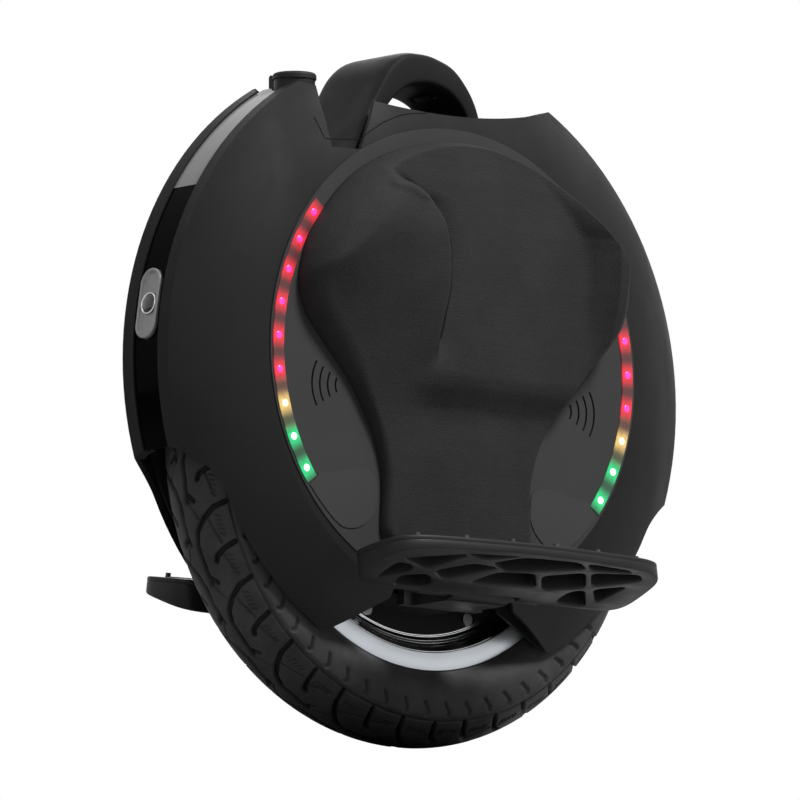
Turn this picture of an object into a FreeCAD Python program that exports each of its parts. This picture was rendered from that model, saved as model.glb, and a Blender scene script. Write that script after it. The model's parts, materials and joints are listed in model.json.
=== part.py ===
"""Electric unicycle: hub-motor wheel, split shell, leg pads, folding pedals, telescopic loop handle.

Millimetres. +X is forward, +Y is the left side, +Z is up. The origin is on the ground under the axle.
"""
import FreeCAD
import Part
import math
import os

V = FreeCAD.Vector

# Wheel
tyre_radius = 216.0
tyre_half_width = 37.0
tyre_section = 55.5
tyre_crown = 7.5
tread_edge_drop = 20.0
tread_edge_inset = 1.5
tube_wall = 2.0
tube_gap = 0.3
tube_seat = 3.5
rim_side_step = 11.0
rim_lip_width = 14.0
rim_lip_thickness = 4.0
rim_flange = 10.5
rim_depth = 28.5
rim_dish_step = 9.0
bead_gap = 0.3
axle_z = tyre_radius
tread_half_width = tyre_half_width - tread_edge_inset
rim_lip_radius = tyre_radius - tyre_section
rim_lip_inner = rim_lip_radius - rim_lip_width
rim_well_radius = rim_lip_radius - rim_flange
rim_bore = rim_lip_radius - rim_depth
rim_half_width = tyre_half_width - rim_side_step
rim_dish_half = rim_half_width - rim_dish_step
tyre_cavity_radius = (tyre_radius - tyre_crown - rim_well_radius - tube_seat) / 2
tyre_cavity_centre = tyre_radius - tyre_crown - tyre_cavity_radius

# Hub motor
axle_radius = 10.0
axle_tail = 3.0
bearing_outer = 21.0
bearing_width = 10.0
bearing_bore_gap = 0.04
bearing_seat_wall = 4.0
cover_thickness = 3.0
cover_flange = 14.0
cover_dome_slope = 8.0
cover_dome_rise = 13.0
axle_seal_gap = 3.0
cover_screw_inset = 5.0
cover_screw_radius = 2.5
cover_screw_head = 4.5
cover_screw_head_height = 2.2
cover_screw_count = 8
magnet_thickness = 4.0
magnet_side_gap = 1.0
air_gap = 1.0
coil_depth = 22.0
coil_height = 2.6
coil_side_gap = 0.4
coil_count = 24
coil_fill = 0.7
nut_radius = 16.0
nut_height = 7.0
cover_outer = rim_dish_half
cover_inner = cover_outer - cover_thickness
cover_dome_radius = rim_bore - cover_flange
cover_dome_half = cover_outer + cover_dome_rise
cover_screw_circle = rim_bore - cover_screw_inset
magnet_inner = rim_bore - magnet_thickness
magnet_half_width = cover_inner - magnet_side_gap
stator_radius = magnet_inner - air_gap
stator_half_width = cover_inner - coil_height - coil_side_gap

# Valve
valve_radius = 4.0
valve_length = 16.5
valve_inset = 1.4
valve_seat = 0.5

# Inner frame, hangers on it and wheel arch
tyre_side_gap = 2.0
frame_thickness = 2.0
frame_inset = 27.0
arch_gap = 5.0
arch_thickness = 2.0
arch_half_angle = 92.0
hanger_thickness = 8.0
frame_inner = tyre_half_width + tyre_side_gap
frame_outer = frame_inner + frame_thickness
arch_half_width = frame_inner
arch_radius = tyre_radius + arch_gap
arch_outer = arch_radius + arch_thickness
hanger_outer = frame_outer + hanger_thickness
axle_half_length = hanger_outer + nut_height + axle_tail

# Insert disc, light strips, sound slots and speakers
bay_depth = 18.0
insert_ring = 70.0
insert_rise = 9.0
insert_thickness = 2.5
insert_seat_width = 9.0
light_inset = 7.5
light_width = 10.0
light_depth = 1.5
light_proud = 0.8
light_top_angle = 40.0
light_bottom_angle = -36.0
sound_inset = 73.0
sound_drop = 27.0
sound_first_radius = 10.5
sound_step = 7.5
sound_slot_width = 1.6
sound_half_angle = 31.0
sound_count = 4
speaker_offset = 20.0
speaker_radius = 17.0
speaker_depth = 14.0
speaker_magnet = 10.0
speaker_rim = 3.2

# Shell
shell_rise = 59.0
shell_margin = 31.0
shell_mid_inset = 25.0
shell_mid_step = 17.0
shell_core_rise = 4.5
insert_proud = 1.0
shell_wall = 3.0
flank_share_x = 0.55
flank_share_y = 0.85
strip_half = 14.5
border_width = 12.3
strip_lip_width = 4.0
strip_recess = 1.5
strip_panel_thickness = 4.5
panel_gap = 0.3
saddle_half_length = 122.0
saddle_drop = 32.0
saddle_rise = 18.0
slot_top_drop = 11.0
slot_corner = 30.0
shell_z = axle_z + shell_rise
shell_radius = tyre_radius + shell_margin
insert_z = shell_z + insert_rise
insert_radius = shell_radius - insert_ring
insert_back = frame_outer + bay_depth
insert_face = insert_back + insert_thickness
light_radius = insert_radius - light_inset
sound_x = insert_radius - sound_inset
sound_z = insert_z - sound_drop
speaker_x = sound_x + speaker_offset
frame_radius = shell_radius - frame_inset
shell_edge_half = strip_half + border_width
shell_mid_radius = shell_radius - shell_mid_inset
shell_mid_half = insert_face - shell_mid_step
shell_inner_half = insert_face - insert_proud
shell_core_half = insert_face + shell_core_rise
slot_half_width = frame_outer
slot_top_z = axle_z - slot_top_drop
saddle_peak_z = shell_z + shell_radius - saddle_drop
saddle_floor_z = saddle_peak_z - saddle_rise
saddle_radius = (saddle_half_length ** 2 + saddle_rise ** 2) / (2 * saddle_rise)
panel_outer = shell_radius - strip_recess
panel_inner = panel_outer - strip_panel_thickness

# Shell screws
boss_radius = 5.0
boss_inset = 42.0
boss_angles = (-8.0, 20.0, 46.0, 134.0, 160.0, 188.0)
shell_screw_radius = 2.0
shell_screw_head = 4.0
shell_screw_head_height = 1.6
shell_screw_length = 12.0
boss_circle = shell_radius - boss_inset

# Leg pads: depth below the top of the light ring, inset from that ring or spread past the neck, then the
# front rise, crest x, crest rise, plateau rise and rear rise over the insert
pad_side_lean = 7.0
pad_neck_inset = 105.0
pad_neck_sections = (
    (310.0, -6.0, 6.5, 40.0, 7.5, 7.5, 6.5),
    (290.0, 0.0, 8.5, 40.0, 9.5, 9.5, 8.5),
    (250.0, -1.0, 8.5, 38.0, 11.5, 9.5, 8.5),
    (210.0, 16.0, 9.5, 36.0, 17.5, 13.5, 10.5),
    (160.0, 56.0, 13.0, 31.0, 24.0, 18.0, 17.0),
)
pad_ring_sections = (
    (105.0, 5.4, 17.0, 28.0, 33.0, 21.0, 27.0),
    (65.0, 3.7, 19.0, 30.0, 31.0, 20.0, 27.0),
    (32.0, 2.0, 17.0, 30.0, 22.0, 18.0, 19.0),
    (4.0, 2.2, 10.0, 14.0, 11.0, 11.0, 10.0),
)
pad_ring = light_radius - light_width / 2
pad_neck_half = insert_radius - pad_neck_inset

# Lower covers
lower_cover_height = 1.2
lower_cover_edge = 3.0
lower_cover_top = -88.0
lower_cover_bottom = -134.0
lower_cover_gap = 2.0
lower_cover_corner = 14.0
lower_cover_slope = 8.0
lower_cover_outer = insert_radius - lower_cover_edge
lower_cover_rear_x = pad_neck_half + lower_cover_gap

# Front and rear panels and lights
panel_top_angle = 60.0
panel_split_angle = 32.0
panel_bottom_angle = -16.3
lamp_angle = 9.0
lamp_height = 54.0
lamp_width = 23.0
lamp_proud = 1.0
lens_radius = 8.5
lens_dome = 2.5
lens_drop = 2.0

# Handle and telescopic mast
grip_rise = 31.5
handle_front_x = 94.0
handle_front_depth = 21.0
handle_rear_x = -61.0
handle_rear_depth = 15.0
handle_strap = 24.0
handle_crown_fall = 3.5
handle_half_top = 32.0
handle_half_rear = 24.0
handle_foot_side = 4.2
handle_foot_gap = 0.4
handle_front_steps = ((0.0, 0.0), (-15.0, 18.0), (-35.0, 46.0))
handle_top_steps = ((48.0, -28.5), (37.0, -13.5), (23.0, -2.0), (8.0, 0.0), (-10.0, -2.0), (-29.0, -8.0))
handle_bend_steps = ((17.0, -21.5), (8.0, -35.5))
handle_rear_steps = ((3.0, 21.0), (0.0, 0.0))
handle_inner_rear_steps = ((0.0, 0.0), (2.0, 19.0))
handle_inner_top_steps = ((-36.0, -10.0), (-21.0, 0.0), (0.0, 3.5), (20.0, 0.0), (35.0, -9.5))
handle_inner_front_steps = ((-27.0, 40.0), (-12.0, 18.0), (0.0, 0.0))
handle_foot_flare = 4.5
handle_foot_waist = 6.0
handle_top_flare = 3.5
handle_rear_flare = 4.0
handle_front_reach = 6.0
handle_neck_run = 15.0
handle_rear_reach = 9.0
mast_setback = 10.0
mast_travel = 190.0
mast_overlap = 10.0
mast_slide_gap = 0.15
rod_length_x = 18.0
rod_length_y = 4.0
middle_wall = 1.1
sleeve_wall = 0.9
sleeve_foot = 4.0
sleeve_gap = 5.5
yoke_length_x = 12.0
yoke_thickness = 4.0
yoke_gap = 1.6
yoke_top_gap = 1.5
mast_x = handle_front_x - mast_setback
middle_x = rod_length_x / 2 + mast_slide_gap + middle_wall
middle_y = rod_length_y / 2 + mast_slide_gap + middle_wall
sleeve_x = middle_x + mast_slide_gap + sleeve_wall
sleeve_y = middle_y + mast_slide_gap + sleeve_wall
mast_y = frame_outer + sleeve_y
arch_rise_at_mast = math.sqrt(arch_outer ** 2 - (mast_x - yoke_length_x / 2) ** 2)
yoke_bottom_z = axle_z + arch_rise_at_mast + yoke_gap
yoke_top_z = yoke_bottom_z + yoke_thickness
sleeve_top_z = yoke_bottom_z - sleeve_gap
handle_bottom_z = yoke_top_z + yoke_top_gap
middle_bottom_z = sleeve_top_z - mast_travel - mast_overlap
rod_bottom_z = yoke_top_z - mast_travel - mast_overlap
sleeve_bottom_z = middle_bottom_z - sleeve_foot
grip_top_z = saddle_peak_z + grip_rise
handle_half_foot = mast_y + handle_foot_side

# Notch beside the front leg of the handle
notch_length = 19.0
notch_rear_inset = 6.0
notch_top_rear_inset = 34.0
notch_lean = 3.0
notch_lift = 5.5
notch_front_x = handle_front_x + notch_length
notch_rear_x = handle_front_x - notch_rear_inset
notch_top_rear_x = handle_front_x - notch_top_rear_inset
notch_top_front_x = notch_front_x - notch_lean
notch_bottom_z = handle_bottom_z + notch_lift

# Tray between the shells
tray_lift = 10.0
tray_thickness = 3.0
tray_front_inset = 38.0
tray_rear_inset = 8.0
tray_wall_drop = 6.0
tray_gap = 0.3
tray_rib_x = 45.0
tray_rib_width = 8.0
tray_rib_half = 30.0
tray_floor_z = axle_z + arch_outer + tray_lift
tray_front_x = handle_front_x - tray_front_inset
tray_rear_x = tray_rear_inset - saddle_half_length
tray_wall_top_z = saddle_peak_z - tray_wall_drop
handle_rear_z = tray_floor_z + handle_foot_gap

# Buttons
lift_x = -21.0
lift_lean = 20.0
lift_length = 16.0
lift_width = 8.0
lift_body = 10.0
lift_proud = 2.0
lift_travel = 3.0
button_gap = 0.3
power_inset = 28.0
power_radius = 9.0
power_proud = 3.0
power_travel = 2.0
lift_z = grip_top_z - handle_strap - handle_crown_fall
power_x = tray_rear_x + power_inset
power_body = tray_thickness + power_proud + power_travel

# Charge port
port_setback = 1.0
port_y = 10.0
port_rise = 3.0
port_radius = 15.5
port_bore = 8.0
port_depth = 12.0
port_well_gap = 0.5
cap_thickness = 5.0
cap_overhang = 1.0
cap_gap = 0.3
cap_hinge_gap = 2.0
cap_hinge_rise = 2.6
cap_barrel_radius = 2.4
cap_barrel_length = 10.0
cap_pin_radius = 1.2
cap_pin_gap = 0.05
cap_ear_width = 2.5
cap_ear_gap = 0.3
port_x = notch_front_x - port_setback
port_top_z = saddle_peak_z + port_rise
cap_radius = port_radius + cap_overhang
cap_hinge_offset = cap_radius + cap_hinge_gap

# Pedals and hangers
hinge_reach = 26.5
hinge_drop = 104.0
pedal_tilt = 8.5
pedal_half_length = 130.0
pedal_inner_inset = 12.0
pedal_start = 8.0
pedal_shoulder = 37.0
pedal_bow_inset = 24.0
pedal_bow = 9.0
pedal_depth = 72.0
pedal_top = 13.0
pedal_inner_height = 26.0
pedal_outer_height = 12.0
pedal_deck = 4.0
pedal_corner = 14.0
corner_swell = 0.2
cell_margin = 6.0
knuckle_root = 4.0
hanger_room = 13.5
knuckle_radius = 9.0
knuckle_length = 30.0
hinge_gap = 0.5
hanger_lug_half = 28.0
hanger_lug_radius = 11.0
pin_radius = 5.0
pin_gap = 0.05
pin_overhang = 2.0
hanger_half_width = 38.0
hanger_rise = 36.0
hanger_foot_drop = 12.0
hanger_bolt_radius = 3.0
hanger_bolt_head = 5.0
hanger_bolt_head_height = 4.0
hanger_bolt_x = 26.0
hanger_bolt_rise = 24.0
grip_thickness = 1.0
stud_radius = 2.0
stud_height = 4.0
stud_columns = 6
stud_inset = 9.0
stud_grip_gap = 1.0
grip_margin = stud_inset + stud_radius + stud_grip_gap
hinge_y = insert_face + hinge_reach
hinge_z = axle_z - hinge_drop
pedal_inner_half = pedal_half_length - pedal_inner_inset
pedal_bow_half = pedal_half_length - pedal_bow_inset
pedal_reach = pedal_start + pedal_depth
pedal_shoulder_y = pedal_start + pedal_shoulder
pedal_bottom_inner = pedal_top - pedal_inner_height
pedal_bottom_outer = pedal_top - pedal_outer_height
knuckle_start = hanger_lug_half + hinge_gap
knuckle_end = knuckle_start + knuckle_length

# Hollow cells under the pedal: corners as (x, distance out from the hinge)
cell_plan = (
    ((117.0, 21.0), (94.0, 41.0), (117.0, 45.0)),
    ((113.0, 54.0), (62.0, 70.0), (83.0, 42.0)),
    ((67.0, 70.0), (18.0, 74.0), (46.0, 64.0)),
    ((73.0, 41.0), (50.0, 56.0), (24.0, 54.0), (57.0, 30.0)),
    ((92.0, 14.0), (97.0, 28.0), (77.0, 34.0), (64.0, 24.0), (64.0, 14.0)),
    ((32.0, 61.0), (11.0, 73.0), (-37.0, 74.0), (-50.0, 66.0), (13.0, 51.0)),
    ((30.0, 29.0), (19.0, 47.0), (-13.0, 51.0), (-28.0, 33.0)),
    ((-24.0, 49.0), (-55.0, 60.0), (-71.0, 40.0), (-39.0, 30.0)),
    ((-64.0, 14.0), (-64.0, 30.0), (-75.0, 35.0), (-93.0, 13.0)),
    ((-49.0, 74.0), (-89.0, 71.0), (-94.0, 68.0), (-58.0, 65.0)),
    ((-63.0, 61.0), (-103.0, 66.0), (-112.0, 58.0), (-77.0, 43.0)),
    ((-82.0, 38.0), (-107.0, 47.0), (-99.0, 20.0)),
)
hanger_top_z = axle_z + hanger_rise
hanger_foot_z = hinge_z - hanger_foot_drop
hanger_foot_top_z = hinge_z + hanger_lug_radius

# Opening in the shell over the pedal hinge
skirt_drop = 35.5
arch_foot_x = 105.0
arch_step_x = 60.0
arch_step_drop = 10.0
arch_top_x = 50.0
arch_top_rise = 14.0
skirt_bottom_z = hinge_z - skirt_drop
arch_step_z = hinge_z - arch_step_drop
arch_top_z = hinge_z + arch_top_rise

# Electronics
battery_setback = 20.0
battery_length = 160.0
battery_lift = 13.0
battery_height = 131.0
battery_side_gap = 1.0
battery_corner = 8.0
board_offset = 20.0
board_length = 34.0
board_lift = 2.0
board_height = 60.0
board_thickness = 1.6
sink_base = 3.0
sink_fin = 5.0
sink_fin_width = 2.0
sink_fin_count = 7
battery_front_x = mast_x - battery_setback
battery_rear_x = battery_front_x - battery_length
battery_bottom_z = hanger_top_z + battery_lift
battery_top_z = battery_bottom_z + battery_height
battery_thickness = bay_depth - battery_side_gap
board_x = mast_x + board_offset
board_bottom_z = insert_z + board_lift

# Length that reaches past the whole machine
far = 4 * shell_radius


def block(x0, x1, y0, y1, z0, z1):
    """Box between two corners."""
    return Part.makeBox(x1 - x0, y1 - y0, z1 - z0, V(x0, y0, z0))


def bar_y(x, z, radius, y0, y1):
    """Cylinder along Y."""
    return Part.makeCylinder(radius, y1 - y0, V(x, y0, z), V(0, 1, 0))


def bar_x(y, z, radius, x0, x1):
    """Cylinder along X."""
    return Part.makeCylinder(radius, x1 - x0, V(x0, y, z), V(1, 0, 0))


def post(x, y, radius, z0, z1):
    """Cylinder along Z."""
    return Part.makeCylinder(radius, z1 - z0, V(x, y, z0), V(0, 0, 1))


def line(p, q):
    """Straight edge."""
    return Part.LineSegment(p, q).toShape()


def arc(p, q, r):
    """Circular edge through three points."""
    return Part.Arc(p, q, r).toShape()


def polygon(points):
    """Flat face with straight sides."""
    return Part.Face(Part.makePolygon(list(points) + [points[0]]))


def side_prism(points, y0, y1):
    """Prism along Y over a polygon of (x, z) points."""
    face = polygon([V(x, y0, z) for x, z in points])
    return face.extrude(V(0, y1 - y0, 0))


def spin(edges, z):
    """Solid of revolution about the Y axis at height z."""
    return Part.Face(Part.Wire(edges)).revolve(V(0, 0, z), V(0, 1, 0), 360)


def ring_profile(points, z):
    """Solid of revolution over a polygon of (radius, y) points."""
    corners = [V(r, y, z) for r, y in points]
    return polygon(corners).revolve(V(0, 0, z), V(0, 1, 0), 360)


def right(shape):
    """Mirror image on the right side."""
    return shape.mirror(V(0, 0, 0), V(0, 1, 0))


def behind(shape):
    """Mirror image at the rear."""
    return shape.mirror(V(0, 0, 0), V(1, 0, 0))


def group(shapes):
    """Separate solids under one name."""
    return Part.makeCompound(shapes)


def save(name, shape):
    """Write one piece."""
    os.makedirs("parts", exist_ok=True)
    shape.exportStep("parts/" + name + ".step")
    print(name, len(shape.Solids), round(shape.Volume), shape.isValid())


def both_sides(name, shape):
    """Write a left piece and its mirror image."""
    save(name + "_left", shape)
    save(name + "_right", right(shape))


def make_tyre():
    """Carcass with a round crown, beads inside the rim lips and room for the tube."""
    z = axle_z
    shoulder = tyre_radius - tread_edge_drop
    bead_half = rim_half_width - rim_lip_thickness - bead_gap
    low = rim_well_radius + bead_gap
    lip = rim_lip_radius + bead_gap
    middle = (shoulder + lip) / 2
    flank = V(lip, rim_half_width, z)
    edges = [
        line(V(low, -bead_half, z), V(low, bead_half, z)),
        line(V(low, bead_half, z), V(lip, bead_half, z)),
        line(V(lip, bead_half, z), flank),
        arc(flank, V(middle, tyre_half_width, z), V(shoulder, tread_half_width, z)),
        arc(V(shoulder, tread_half_width, z), V(tyre_radius, 0, z), V(shoulder, -tread_half_width, z)),
        arc(V(shoulder, -tread_half_width, z), V(middle, -tyre_half_width, z), V(lip, -rim_half_width, z)),
        line(V(lip, -rim_half_width, z), V(lip, -bead_half, z)),
        line(V(lip, -bead_half, z), V(low, -bead_half, z)),
    ]
    cavity = Part.makeTorus(tyre_cavity_centre, tyre_cavity_radius, V(0, 0, z), V(0, 1, 0))
    mouth_half = bead_half - tube_wall
    mouth_top = tyre_cavity_centre - tyre_cavity_radius / 2
    mouth = ring_profile([(low - tube_wall, -mouth_half), (mouth_top, -mouth_half), (mouth_top, mouth_half),
                          (low - tube_wall, mouth_half)], z)
    return spin(edges, z).cut(cavity.fuse(mouth))


def make_tube():
    """Inner tube, a hollow ring just inside the carcass."""
    outer = tyre_cavity_radius - tube_gap
    centre = V(0, 0, axle_z)
    skin = Part.makeTorus(tyre_cavity_centre, outer, centre, V(0, 1, 0))
    return skin.cut(Part.makeTorus(tyre_cavity_centre, outer - tube_wall, centre, V(0, 1, 0)))


def make_rim():
    """Rim with flat lips and a polished dish down to the motor covers."""
    inside_lip = rim_half_width - rim_lip_thickness
    half = [(rim_bore, rim_dish_half), (rim_lip_inner, rim_half_width), (rim_lip_radius, rim_half_width),
            (rim_lip_radius, inside_lip), (rim_well_radius, inside_lip)]
    mirrored = [(r, -y) for r, y in reversed(half)]
    rim = ring_profile(half + mirrored, axle_z)
    return rim.cut(valve_at(valve_radius))


def valve_at(radius):
    """Valve cylinder in the dish of the rim, at the top of the wheel."""
    start = rim_dish_half + valve_seat
    return bar_y(0, axle_z + rim_bore + valve_inset, radius, start, start + valve_length)


def cover_screw_places():
    """Angles of the cover screws, with one pair either side of the lowest point."""
    step = 2 * math.pi / cover_screw_count
    return [step * (i + 0.5) for i in range(cover_screw_count)]


def cover_screws():
    """Screws of the left cover."""
    screws = []
    for angle in cover_screw_places():
        x = cover_screw_circle * math.sin(angle)
        z = axle_z + cover_screw_circle * math.cos(angle)
        head = bar_y(x, z, cover_screw_head, cover_outer, cover_outer + cover_screw_head_height)
        shank = bar_y(x, z, cover_screw_radius, cover_inner, cover_outer)
        screws.append(head.fuse(shank))
    return screws


def make_motor_cover():
    """Left motor cover: screwed flange, raised dome and bearing seat."""
    ceiling = cover_dome_half - cover_thickness
    seat_low = ceiling - bearing_width
    seat_outer = bearing_outer + bearing_seat_wall
    dome_top = cover_dome_radius - cover_dome_slope
    profile = [(bearing_outer, seat_low), (bearing_outer, ceiling), (axle_radius + axle_seal_gap, ceiling),
               (axle_radius + axle_seal_gap, cover_dome_half), (dome_top, cover_dome_half),
               (cover_dome_radius, cover_outer), (rim_bore, cover_outer), (rim_bore, cover_inner),
               (cover_dome_radius - cover_thickness, cover_inner), (dome_top - cover_thickness, ceiling),
               (seat_outer, ceiling), (seat_outer, seat_low)]
    cover = ring_profile(profile, axle_z)
    for angle in cover_screw_places():
        x = cover_screw_circle * math.sin(angle)
        z = axle_z + cover_screw_circle * math.cos(angle)
        cover = cover.cut(bar_y(x, z, cover_screw_radius, cover_inner, cover_outer))
    return cover


def make_bearing():
    """Left bearing, pressed in the cover and running on the axle."""
    top = cover_dome_half - cover_thickness
    bore = axle_radius + bearing_bore_gap
    return ring_profile([(bore, top - bearing_width), (bearing_outer, top - bearing_width),
                         (bearing_outer, top), (bore, top)], axle_z)


def make_magnets():
    """Magnet ring on the inside of the rim."""
    return ring_profile([(magnet_inner, -magnet_half_width), (rim_bore, -magnet_half_width),
                         (rim_bore, magnet_half_width), (magnet_inner, magnet_half_width)], axle_z)


def make_stator():
    """Laminated core on the axle."""
    return ring_profile([(axle_radius, -stator_half_width), (stator_radius, -stator_half_width),
                         (stator_radius, stator_half_width), (axle_radius, stator_half_width)], axle_z)


def make_windings():
    """End turns of the coils on both faces of the core."""
    middle = stator_radius - coil_depth / 2 - air_gap
    width = 2 * math.pi * (middle - coil_depth / 2) / coil_count * coil_fill
    coils = []
    for i in range(coil_count):
        turn = 360.0 * i / coil_count
        for side in (1, -1):
            y0 = stator_half_width if side > 0 else -stator_half_width - coil_height
            coil = block(-width / 2, width / 2, y0, y0 + coil_height,
                         axle_z + middle - coil_depth / 2, axle_z + middle + coil_depth / 2)
            coil.rotate(V(0, 0, axle_z), V(0, 1, 0), turn)
            coils.append(coil)
    return coils


def make_nut():
    """Left axle nut outside the hanger."""
    corners = []
    for i in range(6):
        angle = math.radians(60 * i)
        corners.append((nut_radius * math.cos(angle), axle_z + nut_radius * math.sin(angle)))
    nut = side_prism(corners, hanger_outer, hanger_outer + nut_height)
    return nut.cut(bar_y(0, axle_z, axle_radius, hanger_outer, hanger_outer + nut_height))


def flank_edges(offset):
    """Border and flank of the shell, moved inwards by a wall."""
    z = shell_z
    edge = V(shell_radius - offset, shell_edge_half - offset / 2, z)
    middle = V(shell_mid_radius - offset * flank_share_x, shell_mid_half - offset * flank_share_y, z)
    inner = V(insert_radius, shell_inner_half - offset, z)
    flank = Part.Arc(edge, middle, inner)
    return edge, flank, inner


def envelope(offset):
    """Solid inside the left half of the shell, from the middle plane outwards."""
    edge, flank, inner = flank_edges(offset)
    core = V(0, inner.y + (shell_core_half - shell_inner_half), shell_z)
    start = V(edge.x, 0, shell_z)
    foot = V(0, 0, shell_z)
    return spin([line(start, edge), flank.toShape(), line(inner, core), line(core, foot), line(foot, start)],
                shell_z)


def saddle_tool():
    """Everything above the hollow top line."""
    barrel = bar_y(0, saddle_floor_z + saddle_radius, saddle_radius, -far, far)
    return barrel.common(block(-saddle_half_length, saddle_half_length, -far, far, saddle_floor_z, far))


def slot_tool():
    """Wheel slot between the skirts, with a round top."""
    half = slot_half_width
    flat = half - slot_corner
    low = slot_top_z - slot_corner
    bend = slot_corner * math.sqrt(0.5)
    x = -far
    p = [V(x, -half, 0), V(x, -half, low), V(x, -flat, slot_top_z), V(x, flat, slot_top_z), V(x, half, low),
         V(x, half, 0)]
    left_mid = V(x, -flat - bend, low + bend)
    right_mid = V(x, flat + bend, low + bend)
    wire = Part.Wire([line(p[0], p[1]), arc(p[1], left_mid, p[2]), line(p[2], p[3]),
                      arc(p[3], right_mid, p[4]), line(p[4], p[5]), line(p[5], p[0])])
    return Part.Face(wire).extrude(V(2 * far, 0, 0))


def arch_tool():
    """Opening under the middle of the side, and everything below the skirts."""
    points = [(-far, 0), (-far, skirt_bottom_z), (-arch_foot_x, skirt_bottom_z), (-arch_step_x, arch_step_z),
              (-arch_top_x, arch_top_z), (arch_top_x, arch_top_z), (arch_step_x, arch_step_z),
              (arch_foot_x, skirt_bottom_z), (far, skirt_bottom_z), (far, 0)]
    return side_prism(points, -far, far)


def notch_tool():
    """Notch beside the front leg of the handle."""
    points = [(notch_rear_x, notch_bottom_z), (notch_front_x, notch_bottom_z),
              (notch_front_x, saddle_floor_z), (notch_top_front_x, saddle_peak_z),
              (notch_top_rear_x, saddle_peak_z)]
    return side_prism(points, strip_half, far)


def boss_places():
    """Screw bosses of the shell as (x, z)."""
    places = []
    for angle in boss_angles:
        turn = math.radians(angle)
        places.append((boss_circle * math.cos(turn), shell_z + boss_circle * math.sin(turn)))
    return places


def port_well():
    """Clear space round the charge port."""
    return post(port_x, port_y, cap_radius + port_well_gap, shell_z, far)


def make_shell():
    """Left side shell: border, flank, seat of the insert and screw bosses."""
    inner_lip = panel_inner - shell_wall
    skin = envelope(0).cut(envelope(shell_wall))
    border = ring_profile([(panel_inner, strip_half - strip_lip_width), (panel_inner, strip_half),
                           (shell_radius, strip_half), (shell_radius, shell_edge_half),
                           (inner_lip, shell_edge_half), (inner_lip, strip_half - strip_lip_width)], shell_z)
    keep = block(-far, far, strip_half - strip_lip_width, far, 0, far)
    groove = ring_profile([(panel_inner, 0), (far, 0), (far, strip_half), (panel_inner, strip_half)], shell_z)
    shell = skin.common(keep).cut(groove)
    shell = shell.fuse(border.common(envelope(0)))
    seat_back = insert_back - shell_wall
    seat = bar_y(0, insert_z, insert_radius + shell_wall, seat_back, insert_back).common(envelope(0))
    shell = shell.fuse(seat)
    for x, z in boss_places():
        shell = shell.fuse(bar_y(x, z, boss_radius, frame_outer, far).common(envelope(0)))
    shell = shell.cut(bar_y(0, insert_z, insert_radius, insert_back, far))
    shell = shell.cut(bar_y(0, insert_z, insert_radius - insert_seat_width, 0, far))
    for tool in (saddle_tool(), slot_tool(), arch_tool(), notch_tool(), port_well(), right(port_well())):
        shell = shell.cut(tool)
    for x, z in boss_places():
        shell = shell.cut(bar_y(x, z, shell_screw_radius, frame_outer, frame_inner + shell_screw_length))
    return shell


def shell_screws():
    """Left shell screws, put in from the wheel side."""
    screws = []
    for x, z in boss_places():
        head = bar_y(x, z, shell_screw_head, frame_inner - shell_screw_head_height, frame_inner)
        shank = bar_y(x, z, shell_screw_radius, frame_inner, frame_inner + shell_screw_length)
        screws.append(head.fuse(shank))
    return screws


def light_sector(width, y0, y1):
    """Front light strip as an arc of a ring."""
    ring = bar_y(0, insert_z, light_radius + width / 2, y0, y1)
    ring = ring.cut(bar_y(0, insert_z, light_radius - width / 2, y0, y1))
    reach = 2 * light_radius
    points = [(0, insert_z)]
    for angle in (light_bottom_angle, (light_bottom_angle + light_top_angle) / 2, light_top_angle):
        turn = math.radians(angle)
        points.append((reach * math.cos(turn), insert_z + reach * math.sin(turn)))
    return ring.common(side_prism(points, y0, y1))


def sound_slot(radius):
    """One curved sound slot through the insert."""
    ring = bar_y(sound_x, sound_z, radius + sound_slot_width / 2, insert_back, insert_face)
    ring = ring.cut(bar_y(sound_x, sound_z, radius - sound_slot_width / 2, insert_back, insert_face))
    rise = math.tan(math.radians(sound_half_angle)) * 2 * radius
    reach = sound_x + 2 * radius
    wedge = [(sound_x, sound_z), (reach, sound_z - rise), (reach, sound_z + rise)]
    return ring.common(side_prism(wedge, insert_back, insert_face))


def make_insert():
    """Left insert disc with light channels and sound slots."""
    disc = bar_y(0, insert_z, insert_radius - panel_gap, insert_back, insert_face).cut(arch_tool())
    channel = light_sector(light_width, insert_face - light_depth, insert_face)
    disc = disc.cut(channel).cut(behind(channel))
    for i in range(sound_count):
        slot = sound_slot(sound_first_radius + sound_step * i)
        disc = disc.cut(slot).cut(behind(slot))
    return disc


def make_light():
    """Left front light strip."""
    return light_sector(light_width, insert_face - light_depth, insert_face + light_proud)


def make_lower_cover():
    """Left front lower cover: a plate with rounded rear corners that runs out to the edge of the insert."""
    y = insert_face
    top = insert_z + lower_cover_top
    low = insert_z + lower_cover_bottom
    corner = lower_cover_corner
    bend = corner * (1 - math.sqrt(0.5))
    rear = lower_cover_rear_x
    reach = insert_radius
    slope = lower_cover_slope
    p = [V(reach, y, top - slope), V(rear + corner, y, top), V(rear, y, top - corner),
         V(rear, y, low + corner), V(rear + corner, y, low), V(reach, y, low + slope)]
    edges = [line(p[0], p[1]), arc(p[1], V(rear + bend, y, top - bend), p[2]), line(p[2], p[3]),
             arc(p[3], V(rear + bend, y, low + bend), p[4]), line(p[4], p[5]), line(p[5], p[0])]
    plate = Part.Face(Part.Wire(edges)).extrude(V(0, lower_cover_height, 0))
    disc = bar_y(0, insert_z, lower_cover_outer, y, y + lower_cover_height)
    strip = bar_y(0, insert_z, light_radius - light_width / 2 - panel_gap, y, y + lower_cover_height)
    above = block(0, far, y, y + lower_cover_height, light_end_z(), far)
    plate = plate.common(disc)
    return plate.cut(above.cut(strip))


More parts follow.
